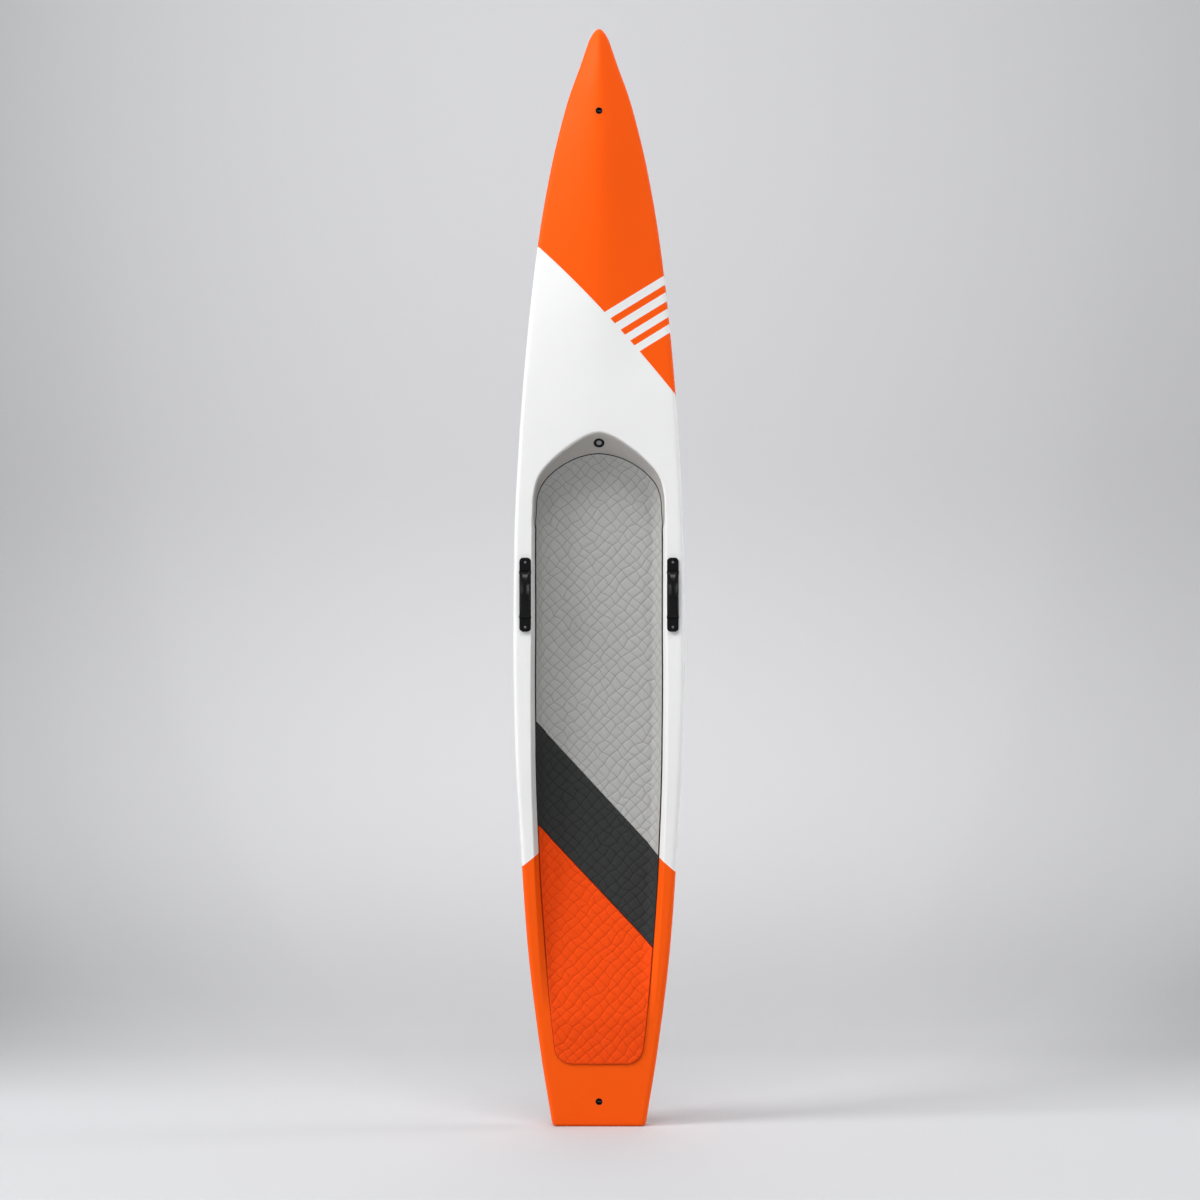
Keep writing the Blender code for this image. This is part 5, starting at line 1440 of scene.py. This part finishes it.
def sweep_point(along):
    """A place on the floor, its curve upwards or the wall, at a distance along them."""
    turn = math.pi / 2 * SWEEP_RADIUS
    if along < SWEEP_START:
        return along, 0.0
    if along > SWEEP_START + turn:
        return SWEEP_START + SWEEP_RADIUS, SWEEP_RADIUS + along - SWEEP_START - turn
    angle = (along - SWEEP_START) / SWEEP_RADIUS
    return SWEEP_START + SWEEP_RADIUS * math.sin(angle), SWEEP_RADIUS * (1 - math.cos(angle))


def painted_paper_shade(x, along):
    """The paper's colour holds painted light and shade: lighter on the floor and behind the board, and darker
    aside, towards the top and where it curves up.
    """
    side = min(1.3, (x / 2.65) ** 2)
    wall = WALL_TONE - (LEFT_SHADE if x < 0 else RIGHT_SHADE) * side
    wall -= TOP_SHADE * min(1.0, max(0.0, (along - 6.0) / 2.5) ** 2)
    rise = eased((along - 0.2) / 2.2)
    curve = (CURVE_SHADE + 0.02 * side) * math.exp(-(((along - 2.15) / 0.95) ** 2))
    return FLOOR_TONE * (1 - rise) + wall * rise - curve


def paper_fade(place):
    """How far the paper has faded into the plain background, at a place well away from the board."""
    away = math.hypot(place.x, place.y, max(0.0, place.z - 3.0))
    return clamped((away - FADE_START) / (FADE_END - FADE_START))


def combined(tree, operation, first, second):
    node = tree.nodes.new("ShaderNodeMath")
    node.operation, node.use_clamp = operation, True
    tree.links.new(first, node.inputs[0])
    tree.links.new(second, node.inputs[1])
    return node.outputs[0]


def seen_directly(tree):
    """1 for what the camera sees, also through glass or in metal, and 0 for light that spreads."""
    rays = tree.nodes.new("ShaderNodeLightPath").outputs
    total = combined(tree, "ADD", rays["Is Camera Ray"], rays["Is Glossy Ray"])
    return combined(tree, "ADD", total, rays["Is Transmission Ray"])


def mixed(tree, share, first, second):
    node = tree.nodes.new("ShaderNodeMixShader")
    for source, socket in zip((share, first, second), node.inputs):
        tree.links.new(source, socket)
    return node.outputs[0]


def make_stage():
    work = bmesh.new()
    # The tone layer carries the paper's painted light and shade, and in its alpha the fade to the background.
    layer = work.loops.layers.float_color.new("tone")
    across = [-16.0, -10.0, -6.0] + [-4.0 + 0.25 * k for k in range(33)] + [6.0, 10.0, 16.0]
    along = [-22.0, -14.0, -8.0, -4.0] + [-2.0 + 0.2 * k for k in range(56)] + [11.0, 15.0]
    tones = {}

    def strip(places, fade=None):
        rows = []
        for a, (y, z) in places:
            rows.append([work.verts.new((x, y, z)) for x in across])
            for v, x in zip(rows[-1], across):
                tones[v] = (painted_paper_shade(x, a),) * 3 + (paper_fade(v.co) if fade is None else fade,)
        for low, high in zip(rows, rows[1:]):
            for face in bridge(work, low, high):
                for loop in face.loops:
                    loop[layer] = tones[loop.vert]

    strip([(a, sweep_point(a)) for a in along])
    strip([(SWEEP_START, (y, 0.0)) for y in (SWEEP_START, 4.0, 22.0)], 1.0)
    stage = from_bmesh("studio_sweep", work)
    stage.data.shade_smooth()
    finish = Finish("studio_paper", (0.8, 0.8, 0.8), 0.9)
    tree = finish.material.node_tree
    tone = tree.nodes.new("ShaderNodeVertexColor")
    tone.layer_name = "tone"
    tint = tree.nodes.new("ShaderNodeMix")
    tint.data_type, tint.blend_type = "RGBA", "MULTIPLY"
    tint.inputs["Factor"].default_value = 1.0
    tree.links.new(tone.outputs["Color"], tint.inputs["A"])
    tint.inputs["B"].default_value = PAPER_TINT
    tree.links.new(tint.outputs["Result"], finish.shader.inputs["Base Color"])
    finish.relief(finish.noise(300.0, 2.0), 0.05, 0.0005)
    plain = filled(tree.nodes.new("ShaderNodeEmission"), Color=(*BACKGROUND, 1.0))
    clear = tree.nodes.new("ShaderNodeBsdfTransparent")
    seen = seen_directly(tree)
    faded = combined(tree, "MULTIPLY", seen, tone.outputs["Alpha"])
    look = mixed(tree, faded, finish.shader.outputs[0], plain.outputs[0])
    behind = tree.nodes.new("ShaderNodeNewGeometry").outputs["Backfacing"]
    look = mixed(tree, combined(tree, "MULTIPLY", seen, behind), look, clear.outputs[0])
    tree.links.new(look, tree.nodes["Material Output"].inputs["Surface"])
    stage.data.materials.append(finish.material)
    stage.visible_shadow = False


make_stage()

# A lamp's name, its place, the height on the board's axis that it points at, its size and its power
for name, place, height, (width, length), power in (
    ("key_light", (-16.8, -7.8, 14.5), 2.0, (9.0, 9.0), 3950.0),
    ("right_light", (13.0, -18.0, 8.0), 2.4, (0.8, 9.0), 300.0),
    ("left_light", (-13.0, -18.0, 8.0), 2.4, (0.8, 9.0), 250.0),
    ("side_light", (15.0, 2.5, 5.0), 2.2, (4.0, 8.0), 900.0),
    ("top_light", (0.0, -9.0, 18.0), 1.5, (10.0, 8.0), 1750.0),
    ("back_light", (0.0, 14.0, 10.0), 2.0, (10.0, 10.0), 550.0),
):
    lamp = bpy.data.lights.new(name, "AREA")
    lamp.shape, lamp.size, lamp.size_y, lamp.energy = "RECTANGLE", width, length, power
    holder = new_object(name, lamp)
    holder.location = place
    aim = Vector((0.0, 0.0, height)) - Vector(place)
    holder.rotation_euler = aim.to_track_quat("-Z", "Y").to_euler()

world = bpy.data.worlds.new("studio")
world.use_nodes = True
tree = world.node_tree
around = filled(tree.nodes["Background"], Color=(1.0, 1.0, 1.0, 1.0), Strength=0.2)
beyond = filled(tree.nodes.new("ShaderNodeBackground"), Color=(*BACKGROUND, 1.0))
seen = mixed(tree, seen_directly(tree), around.outputs[0], beyond.outputs[0])
tree.links.new(seen, tree.nodes["World Output"].inputs["Surface"])
bpy.context.scene.world = world
bpy.context.scene.view_settings.view_transform = "Standard"

lens = bpy.data.cameras.new("photo_camera")
lens.sensor_width, lens.lens, lens.clip_end = SENSOR_WIDTH, FOCAL_LENGTH, 100.0
camera = new_object("photo_camera", lens)
camera.location = CAMERA_PLACE
camera.rotation_euler = (math.pi / 2, 0.0, 0.0)
bpy.context.scene.camera = camera
